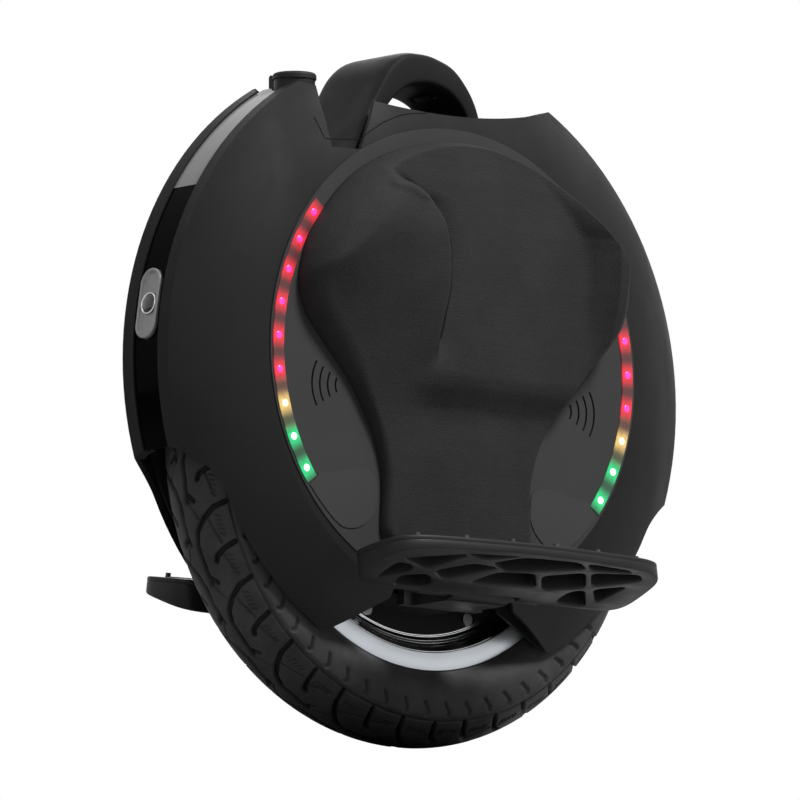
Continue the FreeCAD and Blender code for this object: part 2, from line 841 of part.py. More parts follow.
def light_end_z():
    """Height just below the lower end of the light strip."""
    return insert_z + light_radius * math.sin(math.radians(light_bottom_angle)) - light_width


def make_speaker():
    """Left front speaker behind the sound slots."""
    frame = bar_y(speaker_x, sound_z, speaker_radius, insert_back - speaker_rim, insert_back)
    magnet = bar_y(speaker_x, sound_z, speaker_magnet, insert_back - speaker_depth, insert_back)
    return frame.fuse(magnet)


def pad_section(depth, half, rise, crest_x, crest_rise, plateau_rise, rim_rise):
    """Closed outline of the pad at one height: wall, bolster, drop, plateau, scoop, wall, back."""
    y = insert_face
    z = insert_z + pad_ring - depth
    lean = pad_side_lean
    p = [V(half, y, z), V(half - lean, y + rise, z), V(crest_x, y + crest_rise, z),
         V(crest_x - lean, y + plateau_rise, z), V(lean * 4 - half, y + plateau_rise, z),
         V(lean - half, y + rim_rise, z), V(-half, y, z)]
    bow = lean / 4
    edges = [
        arc(p[0], (p[0] + p[1]) / 2 + V(bow, 0, 0), p[1]),
        arc(p[1], (p[1] + p[2]) / 2 + V(0, bow, 0), p[2]),
        line(p[2], p[3]),
        arc(p[3], (p[3] + p[4]) / 2 + V(0, bow / 2, 0), p[4]),
        arc(p[4], (p[4] + p[5]) / 2 + V(0, -bow / 2, 0), p[5]),
        arc(p[5], (p[5] + p[6]) / 2 + V(-bow, 0, 0), p[6]),
        line(p[6], p[0]),
    ]
    return Part.Wire(edges)


def make_pad():
    """Left leg pad: neck below, bolster in front and scoop behind."""
    sections = []
    for depth, spread, *rises in pad_neck_sections:
        sections.append(pad_section(depth, pad_neck_half + spread, *rises))
    for depth, inset, *rises in pad_ring_sections:
        chord = math.sqrt(pad_ring ** 2 - (pad_ring - depth) ** 2)
        sections.append(pad_section(depth, chord - inset, *rises))
    return Part.makeLoft(sections, True, False)


def strip_sector(top, bottom, inner, outer, half):
    """Part of the front strip between two angles, seen from the side."""
    ring = ring_profile([(inner, -half), (outer, -half), (outer, half), (inner, half)], shell_z)
    points = [(0, shell_z)]
    for angle in (bottom, (bottom + top) / 2, top):
        turn = math.radians(angle)
        points.append((far * math.cos(turn), shell_z + far * math.sin(turn)))
    return ring.common(side_prism(points, -half, half))


def pill(height, width, x0, x1):
    """Upright pill along X, to be turned to the lamp's angle."""
    straight = (height - width) / 2
    z = shell_z
    body = block(x0, x1, -width / 2, width / 2, z - straight, z + straight)
    body = body.fuse(bar_x(0, z - straight, width / 2, x0, x1))
    return body.fuse(bar_x(0, z + straight, width / 2, x0, x1)).removeSplitter()


def at_lamp(shape):
    """Turn a piece from straight ahead up to the lamp."""
    turned = shape.copy()
    turned.rotate(V(0, 0, shell_z), V(0, 1, 0), -lamp_angle)
    return turned


def upper_panel():
    """Grey upper front panel."""
    half = strip_half - panel_gap
    return strip_sector(panel_top_angle, panel_split_angle, panel_inner, panel_outer, half).cut(port_well())


def lower_panel():
    """Black lower front panel with the lamp opening."""
    half = strip_half - panel_gap
    panel = strip_sector(panel_split_angle, panel_bottom_angle, panel_inner, panel_outer, half)
    return panel.cut(at_lamp(pill(lamp_height, lamp_width, 0, far))).cut(slot_tool())


def lamp_bezel():
    """Bezel in the lamp opening, with a round recess for the lens."""
    front = shell_radius + lamp_proud
    body = pill(lamp_height, lamp_width, panel_inner, front)
    return at_lamp(body.cut(bar_x(0, shell_z, lens_radius, front - strip_panel_thickness, front)))


def lamp_lens():
    """Domed lens in the bezel."""
    back = shell_radius + lamp_proud - strip_panel_thickness
    tip = shell_radius + lamp_proud - lens_drop + lens_dome
    ball = (lens_radius ** 2 + lens_dome ** 2) / (2 * lens_dome)
    dome = Part.makeSphere(ball, V(tip - ball, 0, shell_z))
    return at_lamp(bar_x(0, shell_z, lens_radius, back, tip).common(dome))


def make_frame():
    """Left inner plate between the wheel and the electronics."""
    plate = bar_y(0, shell_z, frame_radius, frame_inner, frame_outer)
    plate = plate.cut(bar_y(0, axle_z, axle_radius, frame_inner, frame_outer)).cut(arch_tool())
    plate = plate.cut(block(-far, far, frame_inner, frame_outer, tray_floor_z - tray_thickness, far))
    for x, z in boss_places():
        plate = plate.cut(bar_y(x, z, shell_screw_radius, frame_inner, frame_outer))
    for x, z in hanger_bolt_places():
        plate = plate.cut(bar_y(x, z, hanger_bolt_radius, frame_inner, frame_outer))
    well = block(tray_front_x, notch_front_x, frame_inner, frame_outer, yoke_bottom_z - tray_gap, far)
    return plate.cut(well)


def inside_shells():
    """Room between the two shells, with a small gap to their walls."""
    half = envelope(shell_wall + tray_gap)
    return half.fuse(right(half))


def make_arch():
    """Wheel arch over the tyre, between the two plates."""
    ring = bar_y(0, axle_z, arch_outer, -arch_half_width, arch_half_width)
    ring = ring.cut(bar_y(0, axle_z, arch_radius, -arch_half_width, arch_half_width))
    drop = arch_outer * math.sin(math.radians(arch_half_angle - 90))
    return ring.common(block(-far, far, -far, far, axle_z - drop, far)).common(inside_shells())


def make_tray():
    """Floor and rear wall between the shells, on two ribs that stand on the wheel arch."""
    half = insert_back - shell_wall - tray_gap
    floor = block(tray_rear_x, tray_front_x, -half, half, tray_floor_z - tray_thickness, tray_floor_z)
    wall = block(tray_rear_x, tray_rear_x + tray_thickness, -half, half, tray_floor_z, tray_wall_top_z)
    tray = floor.fuse(wall).common(inside_shells()).cut(saddle_tool())
    tray = tray.common(bar_y(0, shell_z, panel_inner - shell_wall - tray_gap, -half, half))
    for x in (-tray_rib_x, tray_rib_x):
        rib = block(x - tray_rib_width / 2, x + tray_rib_width / 2, -tray_rib_half, tray_rib_half,
                    axle_z, tray_floor_z - tray_thickness)
        tray = tray.fuse(rib.cut(bar_y(0, axle_z, arch_outer, -far, far)))
    return tray.cut(post(power_x, 0, power_radius + button_gap, 0, far))


def curve(points):
    """Smooth edge in the middle plane through (x, z) points."""
    spline = Part.BSplineCurve()
    spline.interpolate([V(x, 0, z) for x, z in points])
    return spline.toShape()


def steps_from(x0, z0, steps):
    """Points at the given (x, z) steps from one place."""
    return [(x0 + x, z0 + z) for x, z in steps]


def make_handle():
    """Loop handle: a wide strap with a flared front leg and a narrower rear leg."""
    top = grip_top_z
    low = handle_bottom_z
    foot = handle_rear_z
    front = handle_front_x
    rear = handle_rear_x
    front_inner = front - handle_front_depth
    rear_inner = rear + handle_rear_depth
    crown = top - handle_strap - handle_crown_fall
    outer = steps_from(front, low, handle_front_steps) + steps_from(0, top, handle_top_steps)
    outer += steps_from(rear, top, handle_bend_steps) + steps_from(rear, foot, handle_rear_steps)
    inner = steps_from(rear_inner, foot, handle_inner_rear_steps)
    inner += steps_from(0, crown, handle_inner_top_steps)
    inner += steps_from(front_inner, low, handle_inner_front_steps)
    rear_foot = line(V(rear, 0, foot), V(rear_inner, 0, foot))
    front_foot = line(V(front_inner, 0, low), V(front, 0, low))
    face = Part.Face(Part.Wire([curve(outer), rear_foot, curve(inner), front_foot]))
    strap = face.extrude(V(0, far, 0))
    strap.translate(V(0, -far / 2, 0))
    half_plan = [(front + handle_front_reach, handle_half_foot + handle_foot_flare),
                 (front - handle_front_reach, handle_half_foot),
                 (front_inner, handle_half_foot - handle_foot_waist),
                 (front_inner - handle_neck_run, handle_half_top + handle_top_flare),
                 (0, handle_half_top), (rear / 2, handle_half_rear + handle_rear_flare),
                 (rear - handle_rear_reach, handle_half_rear)]
    plan = [V(x, y, 0) for x, y in half_plan] + [V(x, -y, 0) for x, y in reversed(half_plan)]
    strap = strap.common(polygon(plan).extrude(V(0, 0, far * 2)))
    return strap.cut(lift_piece(button_gap, lift_body + lift_travel + button_gap, lift_proud))


def lift_piece(gap, depth, proud):
    """Oval block square to the inside of the loop, with a gap all round."""
    half = lift_width / 2 + gap
    straight = (lift_length - lift_width) / 2
    body = block(-half, half, -straight, straight, -proud, depth)
    for y in (-straight, straight):
        body = body.fuse(post(0, y, half, -proud, depth))
    body = body.removeSplitter()
    body.rotate(V(0, 0, 0), V(0, 1, 0), -lift_lean)
    body.translate(V(lift_x, 0, lift_z))
    return body


def flat_tube(half_x, half_y, z0, z1):
    """Upright flat bar at the left mast."""
    return block(mast_x - half_x, mast_x + half_x, mast_y - half_y, mast_y + half_y, z0, z1)


def make_rod():
    """Left mast rod under the front leg of the handle."""
    return flat_tube(rod_length_x / 2, rod_length_y / 2, rod_bottom_z, handle_bottom_z)


def make_middle():
    """Middle tubes of the mast with the yoke that joins them over the tyre."""
    bore_x = rod_length_x / 2 + mast_slide_gap
    bore_y = rod_length_y / 2 + mast_slide_gap
    tube = flat_tube(middle_x, middle_y, middle_bottom_z, yoke_top_z)
    half = yoke_length_x / 2
    yoke = block(mast_x - half, mast_x + half, -mast_y, mast_y, yoke_bottom_z, yoke_top_z)
    bore = flat_tube(bore_x, bore_y, middle_bottom_z, yoke_top_z)
    return tube.fuse(right(tube)).fuse(yoke).cut(bore).cut(right(bore))


def make_sleeve():
    """Left fixed sleeve on the inner plate."""
    half_x = middle_x + mast_slide_gap
    half_y = middle_y + mast_slide_gap
    tube = block(mast_x - sleeve_x, mast_x + sleeve_x, frame_outer, mast_y + sleeve_y, sleeve_bottom_z,
                 sleeve_top_z)
    return tube.cut(flat_tube(half_x, half_y, sleeve_bottom_z, sleeve_top_z))


def make_power():
    """Power button in the tray floor."""
    top = tray_floor_z + power_proud
    return post(power_x, 0, power_radius, top - power_body, top)


def cap_hinge():
    """Hinge axis of the charge cap as (y, z)."""
    return port_y - cap_hinge_offset, port_top_z + cap_gap + cap_hinge_rise


def make_port():
    """Charge port on the wheel arch, with hinge ears and pin for its cap."""
    hinge_line_y, hinge_line_z = cap_hinge()
    body = post(port_x, port_y, port_radius, axle_z, port_top_z).cut(bar_y(0, axle_z, arch_outer, -far, far))
    half = cap_barrel_length / 2 + cap_ear_gap
    for x0 in (port_x - half - cap_ear_width, port_x + half):
        ear = block(x0, x0 + cap_ear_width, hinge_line_y - cap_barrel_radius, port_y - port_radius / 2,
                    port_top_z - cap_radius / 2, port_top_z)
        knob = bar_x(hinge_line_y, hinge_line_z, cap_barrel_radius, x0, x0 + cap_ear_width)
        stalk = block(x0, x0 + cap_ear_width, hinge_line_y - cap_barrel_radius,
                      hinge_line_y + cap_barrel_radius, port_top_z, hinge_line_z)
        body = body.fuse(ear).fuse(knob).fuse(stalk)
    pin = bar_x(hinge_line_y, hinge_line_z, cap_pin_radius, port_x - half, port_x + half)
    body = body.fuse(pin)
    return body.cut(post(port_x, port_y, port_bore, port_top_z - port_depth, port_top_z))


def make_cap():
    """Flip cap of the charge port."""
    hinge_line_y, hinge_line_z = cap_hinge()
    low = port_top_z + cap_gap
    half = cap_barrel_length / 2
    disc = post(port_x, port_y, cap_radius, low, low + cap_thickness)
    rim = disc.Edges[0]
    for edge in disc.Edges:
        if edge.BoundBox.ZMin > rim.BoundBox.ZMin:
            rim = edge
    disc = disc.makeFillet(cap_thickness / 2, [rim])
    ear_room = block(port_x - far, port_x + far, -far, hinge_line_y + cap_barrel_radius + cap_gap, low, far)
    disc = disc.cut(ear_room)
    tab = block(port_x - half, port_x + half, hinge_line_y, port_y, low, low + cap_barrel_radius)
    barrel = bar_x(hinge_line_y, hinge_line_z, cap_barrel_radius, port_x - half, port_x + half)
    cap = disc.fuse(tab).fuse(barrel)
    bore = cap_pin_radius + cap_pin_gap
    return cap.cut(bar_x(hinge_line_y, hinge_line_z, bore, port_x - half, port_x + half))


def on_hinge(shape):
    """Move a piece from hinge coordinates, y outwards and z up, to the tilted left pedal."""
    placed = shape.copy()
    placed.rotate(V(0, 0, 0), V(1, 0, 0), pedal_tilt)
    placed.translate(V(0, hinge_y, hinge_z))
    return placed


def rounded(p, q, bulge):
    """Edge from p to q that swells sideways by a share of its length."""
    along = q - p
    across = V(along.y, -along.x, 0) * bulge
    return arc(p, (p + q) / 2 + across, q)


def pedal_outline(inset):
    """Plan of the pedal in hinge coordinates: straight inner edge, round corners, bowed outer edge."""
    inner = pedal_inner_half - inset
    outer = pedal_half_length - inset
    start = pedal_start + inset
    reach = pedal_reach - inset
    bow_y = reach - pedal_bow
    p = [V(-inner, start, 0), V(inner, start, 0), V(outer, start + pedal_corner, 0),
         V(outer, pedal_shoulder_y, 0), V(pedal_bow_half, bow_y, 0), V(-pedal_bow_half, bow_y, 0),
         V(-outer, pedal_shoulder_y, 0), V(-outer, start + pedal_corner, 0)]
    return Part.Wire([line(p[0], p[1]), rounded(p[1], p[2], corner_swell), line(p[2], p[3]),
                      rounded(p[3], p[4], corner_swell), arc(p[4], V(0, reach, 0), p[5]),
                      rounded(p[5], p[6], corner_swell), line(p[6], p[7]), rounded(p[7], p[0], corner_swell)])


def make_pedal():
    """Left pedal casting: wedge slab, hollow cells underneath, two hinge knuckles."""
    height = pedal_top - pedal_bottom_inner
    slab = Part.Face(pedal_outline(0)).extrude(V(0, 0, height))
    slab.translate(V(0, 0, pedal_bottom_inner))
    low = pedal_bottom_inner - height
    wedge = polygon([V(-far, 0, pedal_bottom_inner), V(-far, pedal_reach, pedal_bottom_outer),
                     V(-far, pedal_reach, low), V(-far, 0, low)]).extrude(V(2 * far, 0, 0))
    slab = slab.cut(wedge)
    hollow = Part.Face(pedal_outline(cell_margin)).extrude(V(0, 0, pedal_top - pedal_deck - low))
    hollow.translate(V(0, 0, low))
    for cell in cell_plan:
        prism = polygon([V(x, y, low) for x, y in cell]).extrude(V(0, 0, pedal_top - pedal_deck - low))
        slab = slab.cut(prism.common(hollow))
    for side in (1, -1):
        x0, x1 = sorted((side * knuckle_start, side * knuckle_end))
        slab = slab.fuse(bar_x(0, 0, knuckle_radius, x0, x1))
        slab = slab.fuse(block(x0, x1, 0, pedal_start + knuckle_root, -knuckle_radius, knuckle_radius))
    slab = slab.cut(block(-knuckle_start, knuckle_start, 0, hanger_room, -far, far))
    slab = slab.cut(bar_x(0, 0, pin_radius + pin_gap, -far, far))
    return on_hinge(slab)


def make_grip():
    """Grip sheet on the deck, inside the row of studs."""
    sheet = Part.Face(pedal_outline(grip_margin)).extrude(V(0, 0, grip_thickness))
    sheet.translate(V(0, 0, pedal_top))
    return on_hinge(sheet)


def make_studs():
    """Metal studs along the inner and outer edges of the deck."""
    studs = []
    span = pedal_inner_half - grip_margin
    for i in range(stud_columns):
        x = span * (2 * i / (stud_columns - 1) - 1)
        bow = pedal_bow * (x / pedal_bow_half) ** 2
        for y in (pedal_start + stud_inset, pedal_reach - bow - stud_inset):
            studs.append(on_hinge(post(x, y, stud_radius, pedal_top, pedal_top + stud_height)))
    return studs


def make_pin():
    """Left pedal hinge pin."""
    reach = knuckle_end + pin_overhang
    return bar_x(hinge_y, hinge_z, pin_radius, -reach, reach)


def hanger_bolt_places():
    """Bolts that hold the hanger to the inner plate."""
    places = []
    for x in (-hanger_bolt_x, hanger_bolt_x):
        for z in (axle_z + hanger_bolt_rise, axle_z - hanger_bolt_rise * 2):
            places.append((x, z))
    return places


def make_hanger():
    """Left hanger: a plate clamped on the axle with a foot out to the pedal hinge."""
    half = hanger_half_width
    plate = block(-half, half, frame_outer, hanger_outer, hanger_foot_z, hanger_top_z)
    foot = block(-hanger_lug_half, hanger_lug_half, hanger_outer, hinge_y, hanger_foot_z, hanger_foot_top_z)
    lug = bar_x(hinge_y, hinge_z, hanger_lug_radius, -hanger_lug_half, hanger_lug_half)
    hanger = plate.fuse(foot).fuse(lug)
    hanger = hanger.cut(bar_x(hinge_y, hinge_z, pin_radius, -far, far))
    hanger = hanger.cut(bar_y(0, axle_z, axle_radius, frame_outer, hanger_outer))
    for x, z in hanger_bolt_places():
        hanger = hanger.cut(bar_y(x, z, hanger_bolt_radius, frame_outer, hanger_outer))
    return hanger


def hanger_bolts():
    """Left hanger bolts."""
    bolts = []
    for x, z in hanger_bolt_places():
        shank = bar_y(x, z, hanger_bolt_radius, frame_inner, hanger_outer)
        head = bar_y(x, z, hanger_bolt_head, hanger_outer, hanger_outer + hanger_bolt_head_height)
        bolts.append(shank.fuse(head))
    return bolts


def make_battery():
    """Left battery pack on the inner plate."""
    pack = block(battery_rear_x, battery_front_x, frame_outer, frame_outer + battery_thickness,
                 battery_bottom_z, battery_top_z)
    upright = [edge for edge in pack.Edges if edge.BoundBox.YLength > battery_thickness / 2]
    return pack.makeFillet(battery_corner, upright)


def make_sink():
    """Finned heat sink on the left inner plate."""
    sink = block(board_x, board_x + board_length, frame_outer + sink_fin, frame_outer + sink_fin + sink_base,
                 board_bottom_z, board_bottom_z + board_height)
    pitch = (board_length - sink_fin_width) / (sink_fin_count - 1)
    for i in range(sink_fin_count):
        x = board_x + pitch * i
        sink = sink.fuse(block(x, x + sink_fin_width, frame_outer, frame_outer + sink_fin, board_bottom_z,
                               board_bottom_z + board_height))
    return sink


def make_board():
    """Controller board on the heat sink."""
    y0 = frame_outer + sink_fin + sink_base
    return block(board_x, board_x + board_length, y0, y0 + board_thickness, board_bottom_z,
                 board_bottom_z + board_height)


def wheel_pieces():
    """Everything that turns with the wheel."""
    save("tyre", make_tyre())
    save("inner_tube", make_tube())
    save("rim", make_rim())
    save("valve_stem", valve_at(valve_radius))
    save("magnet_ring", make_magnets())
    both_sides("motor_cover", make_motor_cover())
    screws = cover_screws()
    save("motor_cover_screws", group(screws + [right(s) for s in screws]))
    save("motor_bearings", group([make_bearing(), right(make_bearing())]))


def axle_pieces():
    """Axle, stator and what hangs on the axle."""
    save("axle", bar_y(0, axle_z, axle_radius, -axle_half_length, axle_half_length))
    save("stator", make_stator())
    save("stator_windings", group(make_windings()))
    save("axle_nuts", group([make_nut(), right(make_nut())]))
    both_sides("hanger", make_hanger())
    bolts = hanger_bolts()
    save("hanger_bolts", group(bolts + [right(b) for b in bolts]))
    save("pedal_pins", group([make_pin(), right(make_pin())]))


def body_pieces():
    """Shells, panels, lights, pads and electronics."""
    both_sides("inner_frame", make_frame())
    save("wheel_arch", make_arch())
    both_sides("side_shell", make_shell())
    screws = shell_screws()
    save("shell_screws", group(screws + [right(s) for s in screws]))
    both_sides("insert_panel", make_insert())
    both_sides("light_strips", group([make_light(), behind(make_light())]))
    both_sides("lower_covers", group([make_lower_cover(), behind(make_lower_cover())]))
    speakers = [make_speaker(), behind(make_speaker())]
    save("speakers", group(speakers + [right(s) for s in speakers]))
    both_sides("leg_pad", make_pad())
    save("front_panel_upper", upper_panel())
    save("front_panel_lower", lower_panel())
    save("rear_panel_upper", behind(upper_panel()))
    save("rear_panel_lower", behind(lower_panel()))
    save("headlight_bezel", lamp_bezel())
    save("headlight_lens", lamp_lens())
    save("tail_light_bezel", behind(lamp_bezel()))
    save("tail_light_lens", behind(lamp_lens()))
    save("top_tray", make_tray())
    both_sides("battery", make_battery())
    save("heat_sink", make_sink())
    save("controller_board", make_board())
    save("mast_sleeves", group([make_sleeve(), right(make_sleeve())]))
    save("charge_port", make_port())


def moving_pieces():
    """Handle, mast, buttons, cap and pedals."""
    save("handle", make_handle())
    save("mast_rods", group([make_rod(), right(make_rod())]))
    save("mast_middle", make_middle())
    save("lift_button", lift_piece(0, lift_body, lift_proud))
    save("power_button", make_power())
    save("charge_cap", make_cap())
    both_sides("pedal", make_pedal())
    both_sides("pedal_grip", make_grip())
    both_sides("pedal_studs", group(make_studs()))


wheel_pieces()
axle_pieces()
body_pieces()
moving_pieces()
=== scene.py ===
"""Electric unicycle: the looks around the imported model.

Lengths are millimetres and angles degrees, unless a name or a comment says otherwise.
"""

import json
import math

import bmesh
import bpy
import numpy as np
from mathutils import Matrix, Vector


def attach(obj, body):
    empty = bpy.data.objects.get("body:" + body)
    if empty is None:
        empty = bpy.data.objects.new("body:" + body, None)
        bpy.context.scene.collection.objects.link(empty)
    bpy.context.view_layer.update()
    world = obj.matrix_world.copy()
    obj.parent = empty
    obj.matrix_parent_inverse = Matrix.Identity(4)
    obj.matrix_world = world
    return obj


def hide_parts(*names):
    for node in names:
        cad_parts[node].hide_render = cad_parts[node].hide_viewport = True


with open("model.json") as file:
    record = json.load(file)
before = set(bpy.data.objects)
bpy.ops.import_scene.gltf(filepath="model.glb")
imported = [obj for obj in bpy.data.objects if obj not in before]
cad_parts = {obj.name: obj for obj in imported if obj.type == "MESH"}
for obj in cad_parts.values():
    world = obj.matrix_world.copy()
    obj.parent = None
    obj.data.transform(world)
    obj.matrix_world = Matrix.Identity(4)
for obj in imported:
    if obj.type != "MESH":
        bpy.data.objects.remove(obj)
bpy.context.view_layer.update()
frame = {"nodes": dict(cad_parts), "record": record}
nodes = frame["nodes"]
scene = bpy.context.scene
MM = 0.001
SIDES = ((1, "left"), (-1, "right"))
SIGNS = (1, -1)

# Places in the model
AXLE_Z = 216.0
SHELL_Z = 275.0
SHELL_RADIUS = 247.0
INSERT_Z = 284.0
INSERT_FACE = 61.5
LIGHT_RADIUS = 169.5
HINGE_Y = 88.0
HINGE_Z = 112.0
PEDAL_TILT = 8.5

# Mesh attribute that says how deep a point lies in a groove, and the near-black tone of the painted
# shade down there
GROOVE_SHADE_LAYER = "groove"
PAINTED_GROOVE_SHADE = (0.003, 0.003, 0.003)


# Node helpers
def put(tree, socket, value):
    """Link an input to another socket, or set it to a plain value."""
    if isinstance(value, bpy.types.NodeSocket):
        tree.links.new(value, socket)
    else:
        socket.default_value = value


def fill(tree, node, **values):
    """Fill in a node's inputs, named with _ for a space, and its other settings."""
    for key, value in values.items():
        name = key.replace("_", " ")
        if name in node.inputs:
            put(tree, node.inputs[name], value)
        else:
            setattr(node, key, value)
    return node


def add(tree, kind, **values):
    """New shader node with some of its inputs and settings filled in."""
    return fill(tree, tree.nodes.new("ShaderNode" + kind), **values)


def maths(tree, operation, *values):
    """Math node over sockets or numbers."""
    node = add(tree, "Math", operation=operation)
    for socket, value in zip(node.inputs, values):
        put(tree, socket, value)
    return node.outputs[0]


def weighted(tree, *pairs):
    """Sum of sockets, each times its weight."""
    total, *others = [maths(tree, "MULTIPLY", value, weight) for value, weight in pairs]
    for other in others:
        total = maths(tree, "ADD", total, other)
    return total


def spread(tree, value, low, high, to_low, to_high):
    """Map a value smoothly from one range to another."""
    node = add(tree, "MapRange", interpolation_type="SMOOTHSTEP", Value=value, From_Min=low,
               From_Max=high, To_Min=to_low, To_Max=to_high)
    return node.outputs["Result"]


def ramp(tree, factor, *stops):
    """Colour ramp with (place, colour) stops."""
    node = add(tree, "ValToRGB", Fac=factor)
    while len(node.color_ramp.elements) < len(stops):
        node.color_ramp.elements.new(0.5)
    for element, (place, colour) in zip(node.color_ramp.elements, stops):
        element.position = place
        element.color = (*colour, 1.0)
    return node.outputs["Color"]


def blank(name):
    """Empty material with its shader and the object's own coordinates."""
    made = bpy.data.materials.new(name)
    made.use_nodes = True
    tree = made.node_tree
    return made, tree, tree.nodes["Principled BSDF"], add(tree, "TexCoord").outputs["Object"]


def stretched(tree, coords, scale):
    """Coordinates stretched along the axes."""
    return add(tree, "Mapping", Vector=coords, Scale=scale).outputs["Vector"]


def noise(tree, coords, scale, detail=3.0, rough=0.55):
    """Noise value."""
    node = add(tree, "TexNoise", Vector=coords, Scale=scale, Detail=detail, Roughness=rough)
    return node.outputs["Fac"]


def groove_shade_share(tree):
    """The mesh's groove attribute, which drives painted shade in grooves, 0 where a mesh has none."""
    return add(tree, "Attribute", attribute_name=GROOVE_SHADE_LAYER).outputs["Fac"]


def bump(tree, height, depth, strength):
    """Normal from a height, with its depth in metres."""
    return add(tree, "Bump", Height=height, Distance=depth, Strength=strength).outputs["Normal"]


# Kinds of material
def moulded(name, dark, light, rough, specular, grain=1400.0, depth=0.00012, metallic=0.0, rub=0.0):
    """Moulded plastic, paint or cast metal: fine grain, slow mottling and rubbed patches."""
    made, tree, shader, coords = blank(name)
    patches = noise(tree, coords, 9.0, 5.0)
    specks = noise(tree, coords, grain, 2.0, 0.7)
    tone = weighted(tree, (patches, 0.75), (specks, 0.25))
    smears = noise(tree, stretched(tree, coords, (1.0, 1.0, 0.35)), 26.0, 6.0)
    fill(tree, shader, Base_Color=ramp(tree, tone, (0.34, dark), (0.66, light)),
         Roughness=spread(tree, smears, 0.3, 0.7, rough - 0.07 - rub, rough + 0.07),
         Metallic=metallic, Specular_IOR_Level=specular, Normal=bump(tree, specks, depth, 0.6))
    return made


def leather(name, dark, light):
    """Pad skin: pebbled grain with fine creases that run across, and duller worn patches."""
    made, tree, shader, coords = blank(name)
    across = stretched(tree, coords, (0.55, 0.8, 1.3))
    cells = add(tree, "TexVoronoi", feature="DISTANCE_TO_EDGE", Vector=across, Scale=620.0,
                Randomness=1.0)
    pebble = spread(tree, cells.outputs["Distance"], 0.0, 0.28, 0.0, 1.0)
    fine = noise(tree, across, 1700.0, 3.0, 0.7)
    folds = noise(tree, stretched(tree, coords, (0.3, 0.6, 1.6)), 130.0, 4.0, 0.6)
    height = weighted(tree, (pebble, 0.6), (fine, 0.4), (folds, 0.8))
    patches = noise(tree, coords, 14.0, 5.0)
    # Painted shade: the tone falls to near black where the crease is marked
    tone = weighted(tree, (patches, 0.6), (height, 0.22), (groove_shade_share(tree), -0.7))
    fill(tree, shader, Base_Color=ramp(tree, tone, (0.0, PAINTED_GROOVE_SHADE), (0.3, dark), (0.72, light)),
         Roughness=spread(tree, tone, 0.3, 0.75, 0.66, 0.5), Specular_IOR_Level=0.05,
         Normal=bump(tree, height, 0.00028, 0.75))
    return made


def rubber(name, dark, light, rough):
    """Tyre or tube rubber with a dry bloom and fine pits."""
    made, tree, shader, coords = blank(name)
    bloom = noise(tree, coords, 38.0, 6.0, 0.65)
    pits = noise(tree, coords, 900.0, 2.0, 0.8)
    # Painted shade: the tone falls to near black in the marked tread grooves and chevrons
    tone = weighted(tree, (bloom, 1.0), (groove_shade_share(tree), -0.55))
    fill(tree, shader, Base_Color=ramp(tree, tone, (0.0, PAINTED_GROOVE_SHADE), (0.35, dark), (0.7, light)),
         Roughness=spread(tree, pits, 0.3, 0.7, rough - 0.08, rough + 0.08),
         Specular_IOR_Level=0.2, Normal=bump(tree, pits, 0.00015, 0.5))
    return made


def turned(name, dark, light, rough):
    """Lathe-turned metal: fine rings about the axle and a few faint smears."""
    made, tree, shader, coords = blank(name)
    ahead, _, height = add(tree, "SeparateXYZ", Vector=coords).outputs
    up = maths(tree, "SUBTRACT", height, AXLE_Z * MM)
    radius = maths(tree, "SQRT", maths(tree, "ADD", maths(tree, "MULTIPLY", ahead, ahead),
                                       maths(tree, "MULTIPLY", up, up)))
    rings = add(tree, "TexNoise", noise_dimensions="1D", W=radius, Scale=2600.0,
                Detail=4.0).outputs["Fac"]
    smears = noise(tree, coords, 24.0, 5.0)
    tone = weighted(tree, (rings, 0.6), (smears, 0.4))
    fill(tree, shader, Base_Color=ramp(tree, tone, (0.3, dark), (0.7, light)), Metallic=1.0,
         Roughness=spread(tree, smears, 0.3, 0.7, rough - 0.05, rough + 0.08),
         Normal=bump(tree, rings, 0.00004, 0.5))
    return made


def wound(name, dark, light, metallic, rough, scale):
    """Fine parallel lines across Y, for laminations and windings."""
    made, tree, shader, coords = blank(name)
    lines = add(tree, "TexWave", bands_direction="Y", Vector=coords, Scale=scale, Distortion=1.0,
                Detail=2.0).outputs["Fac"]
    cloud = noise(tree, coords, 60.0)
    fill(tree, shader, Base_Color=ramp(tree, lines, (0.2, dark), (0.8, light)), Metallic=metallic,
         Roughness=spread(tree, cloud, 0.3, 0.7, rough - 0.08, rough + 0.08),
         Normal=bump(tree, lines, 0.0002, 0.5))
    return made


def glass(name, tint, rough):
    """Tinted lens with faint moulding waves."""
    made, tree, shader, coords = blank(name)
    waves = noise(tree, coords, 120.0, 3.0)
    deeper = tuple(c * 0.9 for c in tint)
    fill(tree, shader, Base_Color=ramp(tree, waves, (0.2, deeper), (0.8, tint)),
         Roughness=spread(tree, waves, 0.3, 0.7, rough, rough + 0.05),
         Transmission_Weight=1.0, IOR=1.49)
    return made


# Light strips: lamps at even angles round the insert, counted from the top end
BEAD_FIRST = 36.7
BEAD_STEP = 8.675
BEAD_COLOURS = ("red",) * 6 + ("amber",) + ("green",) * 2
RED = (1.0, 0.008, 0.03)
AMBER = (1.0, 0.66, 0.2)
GREEN = (0.0, 0.8, 0.24)
STRIP_STOPS = [(0.0, RED), (0.58, RED), (0.645, AMBER), (0.7, AMBER), (0.755, GREEN), (1.0, GREEN)]


